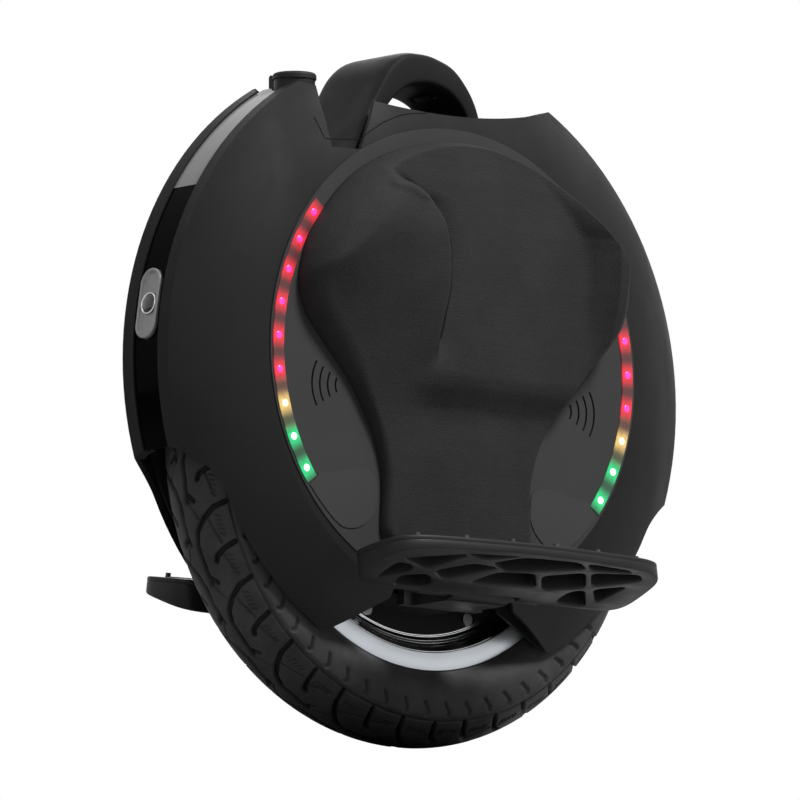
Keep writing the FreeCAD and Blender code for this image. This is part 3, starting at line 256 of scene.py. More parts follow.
def strip(name, dark, light):
    """Strip lit from behind: colour by the angle round the insert, brighter at each lamp."""
    made, tree, shader, coords = blank(name)
    along, _, height = add(tree, "SeparateXYZ", Vector=coords).outputs
    up = maths(tree, "SUBTRACT", height, INSERT_Z * MM)
    turn = maths(tree, "ARCTAN2", up, maths(tree, "ABSOLUTE", along))
    below = maths(tree, "SUBTRACT", BEAD_FIRST, maths(tree, "DEGREES", turn))
    index = maths(tree, "DIVIDE", below, BEAD_STEP)
    nearest = maths(tree, "ABSOLUTE", maths(tree, "SUBTRACT", index, maths(tree, "ROUND", index)))
    colour = ramp(tree, maths(tree, "DIVIDE", index, len(BEAD_COLOURS)), *STRIP_STOPS)
    glow = spread(tree, nearest, 0.05, 0.46, 1.0, 0.1)
    cloud = spread(tree, noise(tree, coords, 420.0, 3.0), 0.3, 0.7, 0.75, 1.0)
    lit = add(tree, "VectorMath", operation="SCALE", Vector=colour,
              Scale=maths(tree, "MULTIPLY", glow, cloud))
    fill(tree, shader, Base_Color=ramp(tree, cloud, (0.0, dark), (1.0, light)), Roughness=0.3,
         Emission_Color=lit.outputs["Vector"], Emission_Strength=1.0)
    return made


def lamp_bead(name, core, edge):
    """Lit bead with a bright core."""
    made, tree, shader, coords = blank(name)
    speck = noise(tree, coords, 900.0, 2.0)
    faint = tuple(c * 0.3 for c in edge)
    fill(tree, shader, Base_Color=ramp(tree, speck, (0.3, faint), (0.7, edge)), Roughness=0.25,
         Emission_Color=ramp(tree, speck, (0.35, edge), (0.6, core)), Emission_Strength=1.0)
    return made


def grit(name, dark, light):
    """Coarse grip sheet."""
    made, tree, shader, coords = blank(name)
    grains = add(tree, "TexVoronoi", Vector=coords, Scale=900.0).outputs["Distance"]
    fill(tree, shader, Base_Color=ramp(tree, grains, (0.1, light), (0.7, dark)),
         Roughness=spread(tree, noise(tree, coords, 300.0), 0.3, 0.7, 0.7, 0.95),
         Specular_IOR_Level=0.3, Normal=bump(tree, grains, 0.0005, 0.9))
    return made


# Moulded and cast materials: dark and light tone, roughness, specular level and grain scale, then
# the grain's depth in metres, the metallic share and the shine of rubbed patches
MOULDED = {
    "motor_black": ((0.005, 0.005, 0.0055), (0.011, 0.011, 0.012), 0.5, 0.08, 1100.0),
    "magnet": ((0.2, 0.2, 0.21), (0.34, 0.34, 0.35), 0.34, 0.5, 1500.0, 0.00006, 0.9),
    "hanger_alloy": ((0.01, 0.01, 0.0105), (0.018, 0.018, 0.0185), 0.5, 0.12, 900.0, 0.0002),
    "frame_alloy": ((0.012, 0.012, 0.0125), (0.02, 0.02, 0.021), 0.5, 0.15, 1300.0),
    "shell_plastic": ((0.0122, 0.0122, 0.0124), (0.0172, 0.0172, 0.0175), 0.56, 0.07, 1700.0, 0.0001,
                      0.0, 0.03),
    "insert_plastic": ((0.036, 0.036, 0.0363), (0.044, 0.044, 0.0443), 0.6, 0.1, 1900.0, 0.00008),
    "inner_plastic": ((0.005, 0.005, 0.0052), (0.009, 0.009, 0.0092), 0.62, 0.08, 1200.0),
    "panel_black": ((0.0012, 0.0012, 0.0013), (0.0026, 0.0026, 0.0027), 0.14, 0.01, 700.0, 0.00001),
    # Painted reflection: this light grey stands in for a bright reflection on a glossy dark panel
    "panel_grey": ((0.2, 0.2, 0.202), (0.27, 0.27, 0.273), 0.2, 0.2, 700.0, 0.00001),
    "lamp_chrome": ((0.25, 0.25, 0.25), (0.31, 0.31, 0.31), 0.3, 0.3, 800.0, 0.00002, 0.2),
    "handle_plastic": ((0.0095, 0.0095, 0.0097), (0.0145, 0.0145, 0.0148), 0.55, 0.07, 1500.0, 0.00011,
                       0.0, 0.05),
    "mast_alloy": ((0.3, 0.3, 0.31), (0.46, 0.46, 0.47), 0.32, 0.5, 1400.0, 0.00003, 1.0),
    "button_plastic": ((0.02, 0.02, 0.021), (0.032, 0.032, 0.033), 0.42, 0.25, 1200.0),
    "port_plastic": ((0.01, 0.01, 0.0105), (0.016, 0.016, 0.0165), 0.5, 0.15, 1200.0),
    "pedal_alloy": ((0.0095, 0.0095, 0.0097), (0.0155, 0.0155, 0.0158), 0.5, 0.13, 1000.0, 0.00022,
                    0.0, 0.05),
    "battery_wrap": ((0.02, 0.05, 0.12), (0.03, 0.07, 0.16), 0.35, 0.5, 300.0, 0.00015),
    "circuit_board": ((0.006, 0.07, 0.03), (0.012, 0.11, 0.05), 0.4, 0.5, 500.0, 0.0002),
    "lower_cover": ((0.042, 0.042, 0.0423), (0.05, 0.05, 0.0503), 0.55, 0.1, 1500.0, 0.00008),
    "stud_metal": ((0.03, 0.03, 0.03), (0.06, 0.06, 0.06), 0.4, 0.3, 900.0, 0.00005, 0.4),
    "lamp_mirror": ((0.42, 0.42, 0.43), (0.5, 0.5, 0.51), 0.12, 0.5, 600.0, 0.00001, 1.0),
    "lamp_bowl": ((0.002, 0.002, 0.002), (0.006, 0.006, 0.006), 0.3, 0.04, 600.0, 0.00002),
    "seam_shadow": ((0.002, 0.002, 0.002), (0.004, 0.004, 0.004), 0.8, 0.05),
}
# Other materials: kind, then its values
OTHERS = {
    "tyre_rubber": (rubber, (0.029, 0.029, 0.0295), (0.05, 0.05, 0.0505), 0.68),
    "tube_rubber": (rubber, (0.011, 0.011, 0.012), (0.02, 0.02, 0.021), 0.6),
    "cap_rubber": (rubber, (0.007, 0.007, 0.0073), (0.012, 0.012, 0.0123), 0.6),
    "rim_alloy": (turned, (0.42, 0.445, 0.475), (0.5, 0.525, 0.555), 0.34),
    "rim_polished": (turned, (0.62, 0.63, 0.65), (0.86, 0.87, 0.89), 0.13),
    "steel": (turned, (0.3, 0.3, 0.31), (0.48, 0.48, 0.49), 0.3),
    "lamination": (wound, (0.1, 0.1, 0.105), (0.26, 0.26, 0.27), 0.85, 0.45, 420.0),
    "copper": (wound, (0.42, 0.15, 0.05), (0.72, 0.3, 0.12), 0.9, 0.35, 260.0),
    "lamp_glass": (glass, (0.1, 0.1, 0.104), 0.02),
    "tail_glass": (glass, (0.75, 0.02, 0.02), 0.08),
    "pad_leather": (leather, (0.0195, 0.0195, 0.0197), (0.031, 0.031, 0.0313)),
    "grip_rubber": (grit, (0.01, 0.01, 0.01), (0.03, 0.03, 0.031)),
    "light_guide": (strip, (0.014, 0.014, 0.014), (0.022, 0.022, 0.022)),
    "lamp_red": (lamp_bead, (3.0, 0.055, 0.6), (3.0, 0.05, 0.3)),
    "lamp_amber": (lamp_bead, (1.0, 1.0, 0.85), (1.0, 0.8, 0.42)),
    "lamp_green": (lamp_bead, (1.0, 1.0, 1.0), (0.7, 1.0, 0.88)),
}
looks = {name: moulded(name, *row) for name, row in MOULDED.items()}
looks.update({name: kind(name, *row) for name, (kind, *row) in OTHERS.items()})


def repaint(node, look):
    """Give a node of the model one material only."""
    nodes[node].data.materials.clear()
    nodes[node].data.materials.append(looks[look])


for entry in frame["record"]["subparts"]:
    repaint(entry["node"], entry["material_slot"])
for _, side_name in SIDES:
    repaint("lower_covers_" + side_name, "lower_cover")
    repaint("pedal_studs_" + side_name, "stud_metal")


# Mesh helpers
MERGE = 0.00002  # metres


def grid_faces(rows, columns, wrap_rows=False, wrap_columns=False):
    """Quads over a grid of vertices in row order."""
    last_row = rows if wrap_rows else rows - 1
    last_column = columns if wrap_columns else columns - 1
    i, j = np.meshgrid(np.arange(last_row), np.arange(last_column), indexing="ij")
    a = i * columns + j
    b = i * columns + (j + 1) % columns
    c = ((i + 1) % rows) * columns + (j + 1) % columns
    d = ((i + 1) % rows) * columns + j
    return np.stack([a, b, c, d], axis=-1).reshape(-1, 4)


def capped_tube(rows, columns, inside_out=False):
    """Quads of a tube of rings, with a face over each end."""
    faces = [list(face) for face in grid_faces(rows, columns, False, True)]
    first = list(range(columns))
    last = [(rows - 1) * columns + k for k in range(columns)]
    return faces + ([last, first[::-1]] if inside_out else [first, last[::-1]])


def shifted(faces, first):
    """Faces over points that start at a later number."""
    return [[first + k for k in face] for face in faces]


def piece(name, points, faces, slot, body, replaces=(), smooth=True, look=None):
    """Mesh piece on a body from points in millimetres."""
    mesh = bpy.data.meshes.new(name)
    points = np.asarray(points, float) * MM
    mesh.from_pydata(points.tolist(), [], [list(face) for face in faces])
    mesh.validate()
    mesh.update()
    mesh.polygons.foreach_set("use_smooth", [smooth] * len(mesh.polygons))
    mesh.materials.append(looks[look or slot])
    obj = bpy.data.objects.new(name, mesh)
    scene.collection.objects.link(obj)
    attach(obj, body)
    if replaces:
        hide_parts(*replaces)
    return obj


def mark_groove_shade(obj, shares):
    """Store on each point how much painted shade it gets from how deep it lies in a groove."""
    layer = obj.data.attributes.new(GROOVE_SHADE_LAYER, "FLOAT", "POINT")
    layer.data.foreach_set("value", shares)


def tidy_mesh(obj, merge=MERGE, sharp_angle=None):
    """Merge doubled points, turn faces outwards and, given an angle, smooth all flatter edges."""
    mesh = bmesh.new()
    mesh.from_mesh(obj.data)
    bmesh.ops.remove_doubles(mesh, verts=mesh.verts, dist=merge)
    bmesh.ops.recalc_face_normals(mesh, faces=mesh.faces)
    if sharp_angle is not None:
        limit = math.radians(sharp_angle)
        for face in mesh.faces:
            face.smooth = True
        for edge in mesh.edges:
            edge.smooth = len(edge.link_faces) == 2 and edge.calc_face_angle(0.0) < limit
    mesh.to_mesh(obj.data)
    mesh.free()


def evaluated_mesh(obj):
    """New mesh of an object with its modifiers or curve settings applied."""
    bpy.context.view_layer.update()
    graph = bpy.context.evaluated_depsgraph_get()
    return bpy.data.meshes.new_from_object(obj.evaluated_get(graph))


def step(value, low, high):
    """Smooth step from 0 at low to 1 at high."""
    t = np.clip((value - low) / (high - low), 0.0, 1.0)
    return t * t * (3 - 2 * t)


def polyline_distance(px, py, line):
    """Distance from points to a polyline."""
    best = np.full(np.shape(px), 1e9)
    for (x0, y0), (x1, y1) in zip(line[:-1], line[1:]):
        dx, dy = x1 - x0, y1 - y0
        t = np.clip(((px - x0) * dx + (py - y0) * dy) / (dx * dx + dy * dy), 0, 1)
        best = np.minimum(best, np.hypot(px - x0 - t * dx, py - y0 - t * dy))
    return best


def spline(points, count):
    """Smooth curve through points, evenly spaced in arc length."""
    p = np.asarray(points, float)
    ends = np.vstack([2 * p[0] - p[1], p, 2 * p[-1] - p[-2]])
    dense = []
    for a, b, c, d in zip(ends, ends[1:], ends[2:], ends[3:]):
        for t in np.linspace(0, 1, 24, endpoint=False):
            dense.append(0.5 * (2 * b + (c - a) * t + (2 * a - 5 * b + 4 * c - d) * t * t
                                + (3 * b - a - 3 * c + d) * t ** 3))
    dense.append(p[-1])
    dense = np.array(dense)
    along = np.concatenate([[0], np.cumsum(np.linalg.norm(np.diff(dense, axis=0), axis=1))])
    wanted = np.linspace(0, along[-1], count)
    return np.stack([np.interp(wanted, along, column) for column in dense.T], axis=1)


def mirrored_loop(half):
    """Closed outline from the half of it with X above 0."""
    return np.vstack([half, half[::-1][1:-1] * np.array([-1, 1])])


def circle(count, start=0.0):
    """Even angles round a circle, in radians."""
    return [2 * math.pi * (k + start) / count for k in range(count)]


def stadium(width, height, count, start=0.5):
    """Outline of an upright pill as (side, up) points."""
    radius = width / 2
    straight = (height - width) / 2
    made = []
    for a in circle(count, start):
        lift = straight if math.sin(a) >= 0 else -straight
        made.append((radius * math.cos(a), lift + radius * math.sin(a)))
    return made


def plate_from_outlines(outlines, bevel):
    """Flat plate between heights 0 and 1 with eased edges, as points and faces in millimetres."""
    half_height = 5.0
    curve = bpy.data.curves.new("plate", "CURVE")
    curve.dimensions = "2D"
    curve.fill_mode = "BOTH"
    curve.extrude = half_height - bevel
    curve.bevel_depth = bevel
    curve.bevel_resolution = 2
    curve.offset = -bevel
    for outline in outlines:
        path = curve.splines.new("POLY")
        path.points.add(len(outline) - 1)
        path.points.foreach_set("co", [n for x, y in outline for n in (x, y, 0.0, 1.0)])
        path.use_cyclic_u = True
    obj = bpy.data.objects.new("plate", curve)
    scene.collection.objects.link(obj)
    mesh = evaluated_mesh(obj)
    points = np.array([v.co for v in mesh.vertices])
    faces = [list(f.vertices) for f in mesh.polygons]
    points[:, 2] = (points[:, 2] + half_height) / (2 * half_height)
    bpy.data.objects.remove(obj)
    return points, faces


# Tyre: crown arc with the tread cut into it, sidewalls with chevrons, beads
CROWN_CENTRE = 174.5
CROWN_ARC = 41.5
CROWN_REACH = 58.8
SIDEWALL = [(196, 35.5), (190, 36.5), (178.4, 37), (168, 33), (161.2, 26.6)]
TYRE_BEAD = [(160.9, 26.0), (160.9, 21.7), (150.4, 21.7)]
TREAD_PERIODS = 21
TREAD_PERIOD = 360.0 / TREAD_PERIODS
TREAD_START = 7.1
TREAD_RADIUS = 208.0

# Lines of the tread as (angle round the wheel, angle across the crown)
WIDE_GROOVES = [
    [(0, 51), (-0.7, 36), (-2.4, 23.5), (-5, 11), (-7.8, 6), (-12, 6.5), (-16, 5)],
    [(-14.5, 6), (-15.2, 10), (-16, 14)],
    [(-8.8, 49), (-9.5, 36), (-10.7, 25), (-11.7, 22.6)],
]
THIN_LINES = [[(-15.7, 5.5), (-20, 17)], [(-2.9, 27), (-8.2, 35)], [(-10.8, 33), (-15.5, 39.5)]]
SIPE_STARTS = (-2.3, -3.3, -4.3, -5.3, -6.3, -10.9, -11.9, -12.9, -13.9, -14.9)
SIPES = [[(start, 36), (start - 0.5, 41.5)] for start in SIPE_STARTS]

# Each set of lines with its depth, the half width of its floor and that of its mouth
TREAD_CUTS = [(WIDE_GROOVES, 4.2, 1.2, 2.5), (THIN_LINES, 1.6, 0.35, 1.15), (SIPES, 1.3, 0.3, 1.0)]
SHOULDER_LINE = 53.0
SHOULDER_CUT = (1.1, 0.4, 1.3)

# Chevrons on the sidewalls, between two radii, with the slope of their arms
CHEVRON_STEP = 6.0
CHEVRON_PLACE = 1.0
CHEVRON_TIP_RADIUS = 193.0
CHEVRON_SLOPE = 0.16
CHEVRON_HALF_WIDTHS = (0.35, 0.8)
CHEVRON_DEPTH = 1.2
CHEVRON_RADII = (185, 198.5)
CHEVRON_LEAST_Y = 35.4
# Share of painted shade in the chevrons
CHEVRON_SHADE = 0.7


def tread_depth(turn, lean):
    """Depth of the tread for one period, at angles round the wheel and across the crown."""
    per_turn = math.radians(1.0) * TREAD_RADIUS
    per_lean = math.radians(1.0) * CROWN_ARC
    depth = np.zeros(turn.shape)
    for side in SIGNS:
        shift = 0.0 if side > 0 else TREAD_PERIOD / 2
        v = side * lean * per_lean
        for offset in (-TREAD_PERIOD, 0.0, TREAD_PERIOD):
            u = (turn - shift + offset) * per_turn
            for lines, deep, floor, mouth in TREAD_CUTS:
                for line in lines:
                    path = [(a * per_turn, b * per_lean) for a, b in line]
                    away = polyline_distance(u, v, path)
                    depth = np.maximum(depth, deep * (1 - step(away, floor, mouth)))
    deep, floor, mouth = SHOULDER_CUT
    away = np.abs(np.abs(lean) - SHOULDER_LINE) * per_lean
    return np.maximum(depth, deep * (1 - step(away, floor, mouth)))


def make_tyre():
    """Tyre with cut tread, as one dense ring."""
    columns = 72
    crown = np.linspace(-CROWN_REACH, CROWN_REACH, 111)
    turn_one = np.linspace(0, TREAD_PERIOD, columns, endpoint=False)
    turn_grid, lean_grid = np.meshgrid(turn_one, crown, indexing="ij")
    cut = np.tile(tread_depth(turn_grid - TREAD_PERIOD, lean_grid), (TREAD_PERIODS, 1))
    lean = np.radians(crown)
    left = np.vstack([spline(SIDEWALL, 30)[1:], TYRE_BEAD])
    right = left[::-1] * np.array([1, -1])
    profile_r = np.concatenate([right[:, 0], CROWN_CENTRE + CROWN_ARC * np.cos(lean), left[:, 0]])
    profile_y = np.concatenate([right[:, 1], CROWN_ARC * np.sin(lean), left[:, 1]])
    total = columns * TREAD_PERIODS
    turn = np.radians(np.linspace(0, 360, total, endpoint=False) + TREAD_START)
    r = np.repeat(profile_r[None, :], total, axis=0)
    y = np.repeat(profile_y[None, :], total, axis=0)
    tread = slice(len(right), len(right) + len(crown))
    r[:, tread] -= cut * np.cos(lean)
    y[:, tread] -= cut * np.sin(lean)
    arm = np.abs(profile_r - CHEVRON_TIP_RADIUS)[None, :] * CHEVRON_SLOPE
    off_line = np.abs(np.degrees(turn)[:, None] % CHEVRON_STEP - CHEVRON_PLACE - arm)
    low, high = CHEVRON_RADII
    band = (profile_r > low) & (profile_r < high) & (np.abs(profile_y) > CHEVRON_LEAST_Y)
    chevrons = np.where(band[None, :], 1 - step(off_line, *CHEVRON_HALF_WIDTHS), 0.0)
    y -= np.sign(profile_y)[None, :] * CHEVRON_DEPTH * chevrons
    x = r * np.sin(turn)[:, None]
    z = AXLE_Z - r * np.cos(turn)[:, None]
    points = np.stack([x, y, z], axis=-1).reshape(-1, 3)
    faces = grid_faces(total, len(profile_r), True, True)
    obj = piece("tyre_tread", points, faces, "tyre_rubber", "wheel", ["tyre"])
    # Painted shade: near-black share in the chevrons and, by the depth of the cut, in the tread grooves
    shade = CHEVRON_SHADE * chevrons
    shade[:, tread] = np.clip(cut / cut.max(), 0.0, 1.0)
    mark_groove_shade(obj, shade.ravel())


make_tyre()


# Leg pads: a firm moulded form worked out as a height over the insert, with rolled edges.
# X is along the machine and Z is measured from the axle; tables of pairs are read by Z.
PAD_OUTLINE = [
    (0, 234), (18, 233), (34, 230), (61, 222), (82, 212), (98, 202), (115, 187), (130, 169),
    (142, 150), (149, 130), (150.5, 116), (147, 100), (139.5, 87), (128, 74), (115, 60), (101, 44),
    (88, 24), (78, 4), (72.2, -16), (71, -34), (72, -54), (71.5, -65), (67, -73), (60, -76), (0, -76),
]
PAD_EDGE = [(-90, 150), (100, 150), (116, 150.5), (130, 149), (150, 142), (169, 130), (187, 115),
            (202, 98), (212, 82), (240, 60)]
# Height of the flat middle
PAD_RISE = [
    (-90, 8.2), (-56, 8.6), (-16, 8.6), (10, 8.8), (22, 9.0), (30, 10.2), (38, 14.6), (47, 20.2),
    (55, 22.6), (74, 23.0), (129, 23.0), (169, 22.4), (202, 20.6), (222, 17.8), (240, 15.0),
]
# Rear wing: how much it stands up at the edge, and where it starts to rise
PAD_WING = [
    (-90, 0), (60, 0), (84, 2.5), (100, 8.5), (116, 13.5), (130, 16.6), (144, 18.6), (156, 19.2),
    (164, 18.4), (172, 16.4), (180, 13.2), (188, 9.6), (196, 6), (204, 3), (212, 1), (220, 0), (240, 0),
]
PAD_WING_FOLD = [(-90, 104), (160, 104), (172, 101), (187, 90), (202, 76), (212, 64), (240, 40)]
WING_INSET = 2.0
WING_RUNS = (8.0, 26.0)
# Front bolster: where its crease lies, how far it rises from there, and (x, z, height) of its face
PAD_CREASE = [
    (-90, 62), (-30, 58), (-5, 47), (14, 36), (31, 29), (61, 32), (85, 30), (117, 27), (146, 28),
    (169, 34), (187, 45), (199, 64), (212, 84), (240, 100),
]
PAD_CREASE_WIDTH = [(-90, 34), (-5, 36), (31, 40), (46, 34), (58, 22), (68, 11), (82, 5), (150, 5),
                    (187, 6), (199, 12), (240, 24)]
PAD_FACE = [
    (48, 187, 33.5), (36, 169, 39.5), (30, 146, 40.0), (29, 117, 38.0), (33, 85, 31.5),
    (35, 61, 25.0), (31, 31, 16.6), (48, -5, 10.8), (58, -30, 9.0), (60, -60, 8.6),
    (91, 169, 37.5), (117, 150, 36.0), (133, 133, 30.5), (60, 190, 34.0), (75, 140, 36.0),
    (75, 120, 32.0), (105, 120, 28.5), (70, 90, 25.0), (100, 95, 21.5), (124, 108, 22.0),
    (143, 120, 22.0), (141, 103, 17.5), (124, 76, 14.0), (98, 44, 11.4), (80, 8, 9.0),
    (71, -30, 8.4), (71, -60, 8.2), (70, 60, 18.5), (84, 208, 24.0), (60, 222, 18.0),
]
FACE_LOOSENESS = 12.0
FACE_LEAST = 7.5
# The face falls away outside a ridge about a centre
RIDGE_CENTRE_Z = 68.0
RIDGE_RADIUS = 160.0
RIDGE_HEIGHT = 21.0
RIDGE_SLOPE = 0.75
RIDGE_SOFTNESS = 1.2
# Crease: hollow before it, place beyond the line, half width and its growth low down, depth, and the
# shift of the painted shade along it
HOLLOW_DEPTH = 4.0
HOLLOW_WIDTH = 14.0
CREASE_PLACE = 5.4
CREASE_HALF_WIDTH = 1.4
CREASE_GROWTH = 1.1
CREASE_DEPTH = 2.2
CREASE_SHADE_SHIFT = 1.6
# Small folds at the top of the crease: line, rise and width
PAD_FOLDS = [([(48, 187.5), (60, 195), (73, 200)], -2.4, 2.6),
             ([(56, 185), (68, 191), (79, 193)], 1.6, 4.0)]
# Rolled edge: its run inwards, wider at the front and the low rear, narrower at the wing
ROLL_RUN = 7.0
ROLL_GROWTH = 9.0
ROLL_WING_CUT = 3.6
ROLL_POWER = 2.2
# Rings of the mesh, drawn in from the outline to a spine
PAD_RINGS = 170
PAD_RING_EASE = 1.4
PAD_SPINE = (-20.0, 120.0)


def table(pairs, value):
    """Smooth reading of a table of (place, value) pairs."""
    p = np.array(pairs, float)
    fine = np.linspace(p[0, 0], p[-1, 0], 600)
    read = np.interp(fine, p[:, 0], p[:, 1])
    width = 11
    padded = np.pad(read, width, mode="edge")
    kernel = np.hanning(2 * width + 1)
    return np.interp(value, fine, np.convolve(padded, kernel / kernel.sum(), mode="valid"))


def surface_through(samples, x, z):
    """Smooth surface near (x, z, height) samples."""
    s = np.array(samples, float)
    count = len(s)

    def kernel(r2):
        return np.where(r2 > 0, r2 * np.log(r2 + 1e-12), 0.0)

    gap = (s[:, None, 0] - s[None, :, 0]) ** 2 + (s[:, None, 1] - s[None, :, 1]) ** 2
    matrix = np.zeros((count + 3, count + 3))
    matrix[:count, :count] = kernel(gap) + np.eye(count) * FACE_LOOSENESS
    matrix[:count, count] = matrix[count, :count] = 1
    matrix[:count, count + 1] = matrix[count + 1, :count] = s[:, 0]
    matrix[:count, count + 2] = matrix[count + 2, :count] = s[:, 1]
    weights = np.linalg.solve(matrix, np.concatenate([s[:, 2], np.zeros(3)]))
    found = weights[count] + weights[count + 1] * x + weights[count + 2] * z
    for k in range(count):
        found = found + weights[k] * kernel((x - s[k, 0]) ** 2 + (z - s[k, 1]) ** 2)
    return found


def crease_span(z):
    """1 along the sharp part of the crease, falling to 0 at its ends."""
    return step(z, 58, 84) * (1 - step(z, 180, 194))


def pad_groove(x, z):
    """Depth share of the crease beside the bolster."""
    width = CREASE_HALF_WIDTH + CREASE_GROWTH * (1 - step(z, 84, 136))
    return np.exp(-((x - table(PAD_CREASE, z) - CREASE_PLACE) / width) ** 2) * crease_span(z)


def pad_height(x, z):
    """Height of the pad over the insert before its edges roll off."""
    fold = table(PAD_WING_FOLD, z)
    run = np.clip(table(PAD_EDGE, z) - fold - WING_INSET, *WING_RUNS)
    lean = np.clip((-x - fold) / run, 0.0, 1.0)
    bent = np.where(lean < 0.4, lean * lean / 0.64, (lean - 0.2) / 0.8)
    flat = table(PAD_RISE, z) + table(PAD_WING, z) * bent
    beyond = x - table(PAD_CREASE, z)
    hollow = np.exp(-(np.minimum(beyond, 0.0) / HOLLOW_WIDTH) ** 2)
    flat = flat - HOLLOW_DEPTH * hollow * crease_span(z)
    face = surface_through(PAD_FACE, x, z)
    slope = RIDGE_HEIGHT + RIDGE_SLOPE * (RIDGE_RADIUS - np.hypot(x, z - RIDGE_CENTRE_Z))
    face = -RIDGE_SOFTNESS * np.log(np.exp(-face / RIDGE_SOFTNESS) + np.exp(-slope / RIDGE_SOFTNESS))
    face = np.maximum(face, FACE_LEAST)
    share = step(beyond, -0.5, table(PAD_CREASE_WIDTH, z))
    height = flat + (face - flat) * share - CREASE_DEPTH * pad_groove(x, z)
    for line, rise, width in PAD_FOLDS:
        height = height + rise * np.exp(-(polyline_distance(x, z, line) / width) ** 2)
    return height


def pad_mesh():
    """Points and faces of the left pad."""
    outline = mirrored_loop(spline(PAD_OUTLINE, 320))
    columns = len(outline)
    core = np.stack([np.zeros(columns), np.clip(outline[:, 1], *PAD_SPINE)], axis=1)
    ease = 1 - (1 - np.linspace(0, 1, PAD_RINGS)) ** PAD_RING_EASE
    flat = np.array([core + (outline - core) * share for share in ease])
    x, z = flat[..., 0], flat[..., 1]
    high = step(z, 118, 158)
    front = step(x, 40, 120) * step(z, 20, 70)
    rear = step(-x, 60, 120) * step(z, 30, 80) * (1 - high)
    wing = step(-x, -60, 40) * high
    roll = ROLL_RUN + ROLL_GROWTH * (front + rear) - ROLL_WING_CUT * wing
    away = polyline_distance(x, z, np.vstack([outline, outline[:1]])[::2])
    part = np.clip(away / roll, 0, 1)
    height = pad_height(x, z) * np.sqrt(1 - (1 - part) ** ROLL_POWER)
    skin = np.stack([x, INSERT_FACE + height, z + AXLE_Z], axis=-1).reshape(-1, 3)
    back = np.stack([outline[:, 0], np.full(columns, INSERT_FACE), outline[:, 1] + AXLE_Z], axis=-1)
    backing = list(range(len(skin), len(skin) + columns))
    return np.vstack([skin, back]), grid_faces(PAD_RINGS + 1, columns, False, True), backing


def make_pads():
    """Both leg pads."""
    points, faces, backing = pad_mesh()
    for side, name in SIDES:
        made = faces if side > 0 else faces[:, ::-1]
        obj = piece("leg_pad_skin_" + name, points * np.array([1, side, 1]), [*made, backing],
                    "pad_leather", "body", ["leg_pad_" + name])
        tidy_mesh(obj)
        place = np.array([vertex.co for vertex in obj.data.vertices]) / MM
        # Painted shade along the crease beside the bolster, shifted a little forward
        mark_groove_shade(obj, pad_groove(place[:, 0] + CREASE_SHADE_SHIFT, place[:, 2] - AXLE_Z))


make_pads()


# Lamps in the light strips: domes with a radius, a seat over the insert and a rise
LAMP_RADIUS = 2.9
LAMP_SEAT = 0.7
LAMP_RISE = 0.9
LAMP_CLOSING = 0.96


def lamp_dome(x, z, side, rings, sides):
    """Points of one domed lamp on a side of the machine."""
    points = []
    for rise in np.linspace(0, math.pi / 2, rings):
        radius = LAMP_RADIUS * math.cos(rise * LAMP_CLOSING)
        out = INSERT_FACE + LAMP_SEAT + LAMP_RISE * math.sin(rise)
        points += [(x + radius * math.cos(a), side * out, z + radius * math.sin(a))
                   for a in circle(sides)]
    return points


def make_beads():
    """Domed lamps along each strip, one piece per colour and side."""
    rings, sides = 6, 20
    for side, name in SIDES:
        for key in ("red", "amber", "green"):
            points, faces = [], []
            for front in SIGNS:
                for i, colour in enumerate(BEAD_COLOURS):
                    if colour != key:
                        continue
                    angle = math.radians(BEAD_FIRST - BEAD_STEP * i)
                    x = front * LIGHT_RADIUS * math.cos(angle)
                    z = INSERT_Z + LIGHT_RADIUS * math.sin(angle)
                    faces += shifted(capped_tube(rings, sides, True), len(points))
                    points += lamp_dome(x, z, side, rings, sides)
            piece("strip_lamps_" + key + "_" + name, points, faces, "light_guide", "body",
                  look="lamp_" + key)


make_beads()


# Rim: flat satin lip, polished dish with turned rings
DISH_START = (132.0, 17.0)
DISH_END = (146.2, 25.7)
DISH_HOLLOW = 1.6
POLISHED_RADIUS = 146.7
RIM_LIP = [(146.6, 25.95), (147.2, 26.0), (159.9, 26.0), (160.4, 25.6), (160.5, 24.8), (160.5, 22.0),
           (150.0, 22.0)]
# Rings turned into the dish: place along it, width as a share of it, depth
RIM_GROOVES = [(0.06, 0.012, 0.5), (0.14, 0.01, 0.35), (0.36, 0.015, 0.22), (0.5, 0.015, 0.28),
               (0.66, 0.02, 0.22), (0.985, 0.012, 0.5)]


def make_rim():
    """Rim as a turned ring with a grooved dish on both sides."""
    (r0, y0), (r1, y1) = DISH_START, DISH_END
    half = []
    for t in np.linspace(0, 1, 72):
        groove = sum(depth * math.exp(-((t - place) / width) ** 2)
                     for place, width, depth in RIM_GROOVES)
        hollow = DISH_HOLLOW * math.sin(math.pi * t)
        half.append((r0 + (r1 - r0) * t, y0 + (y1 - y0) * t - hollow - groove))
    half += RIM_LIP
    profile = half + [(r, -y) for r, y in reversed(half)]
    count = 360
    points = [(r * math.sin(a), y, AXLE_Z + r * math.cos(a)) for r, y in profile for a in circle(count)]
    obj = piece("rim_turned", points, grid_faces(len(profile), count, True, True), "rim_alloy", "wheel",
                ["rim"])
    obj.data.materials.append(looks["rim_polished"])
    for face in obj.data.polygons:
        if math.hypot(face.center.x, face.center.z - AXLE_Z * MM) < POLISHED_RADIUS * MM:
            face.material_index = 1


make_rim()


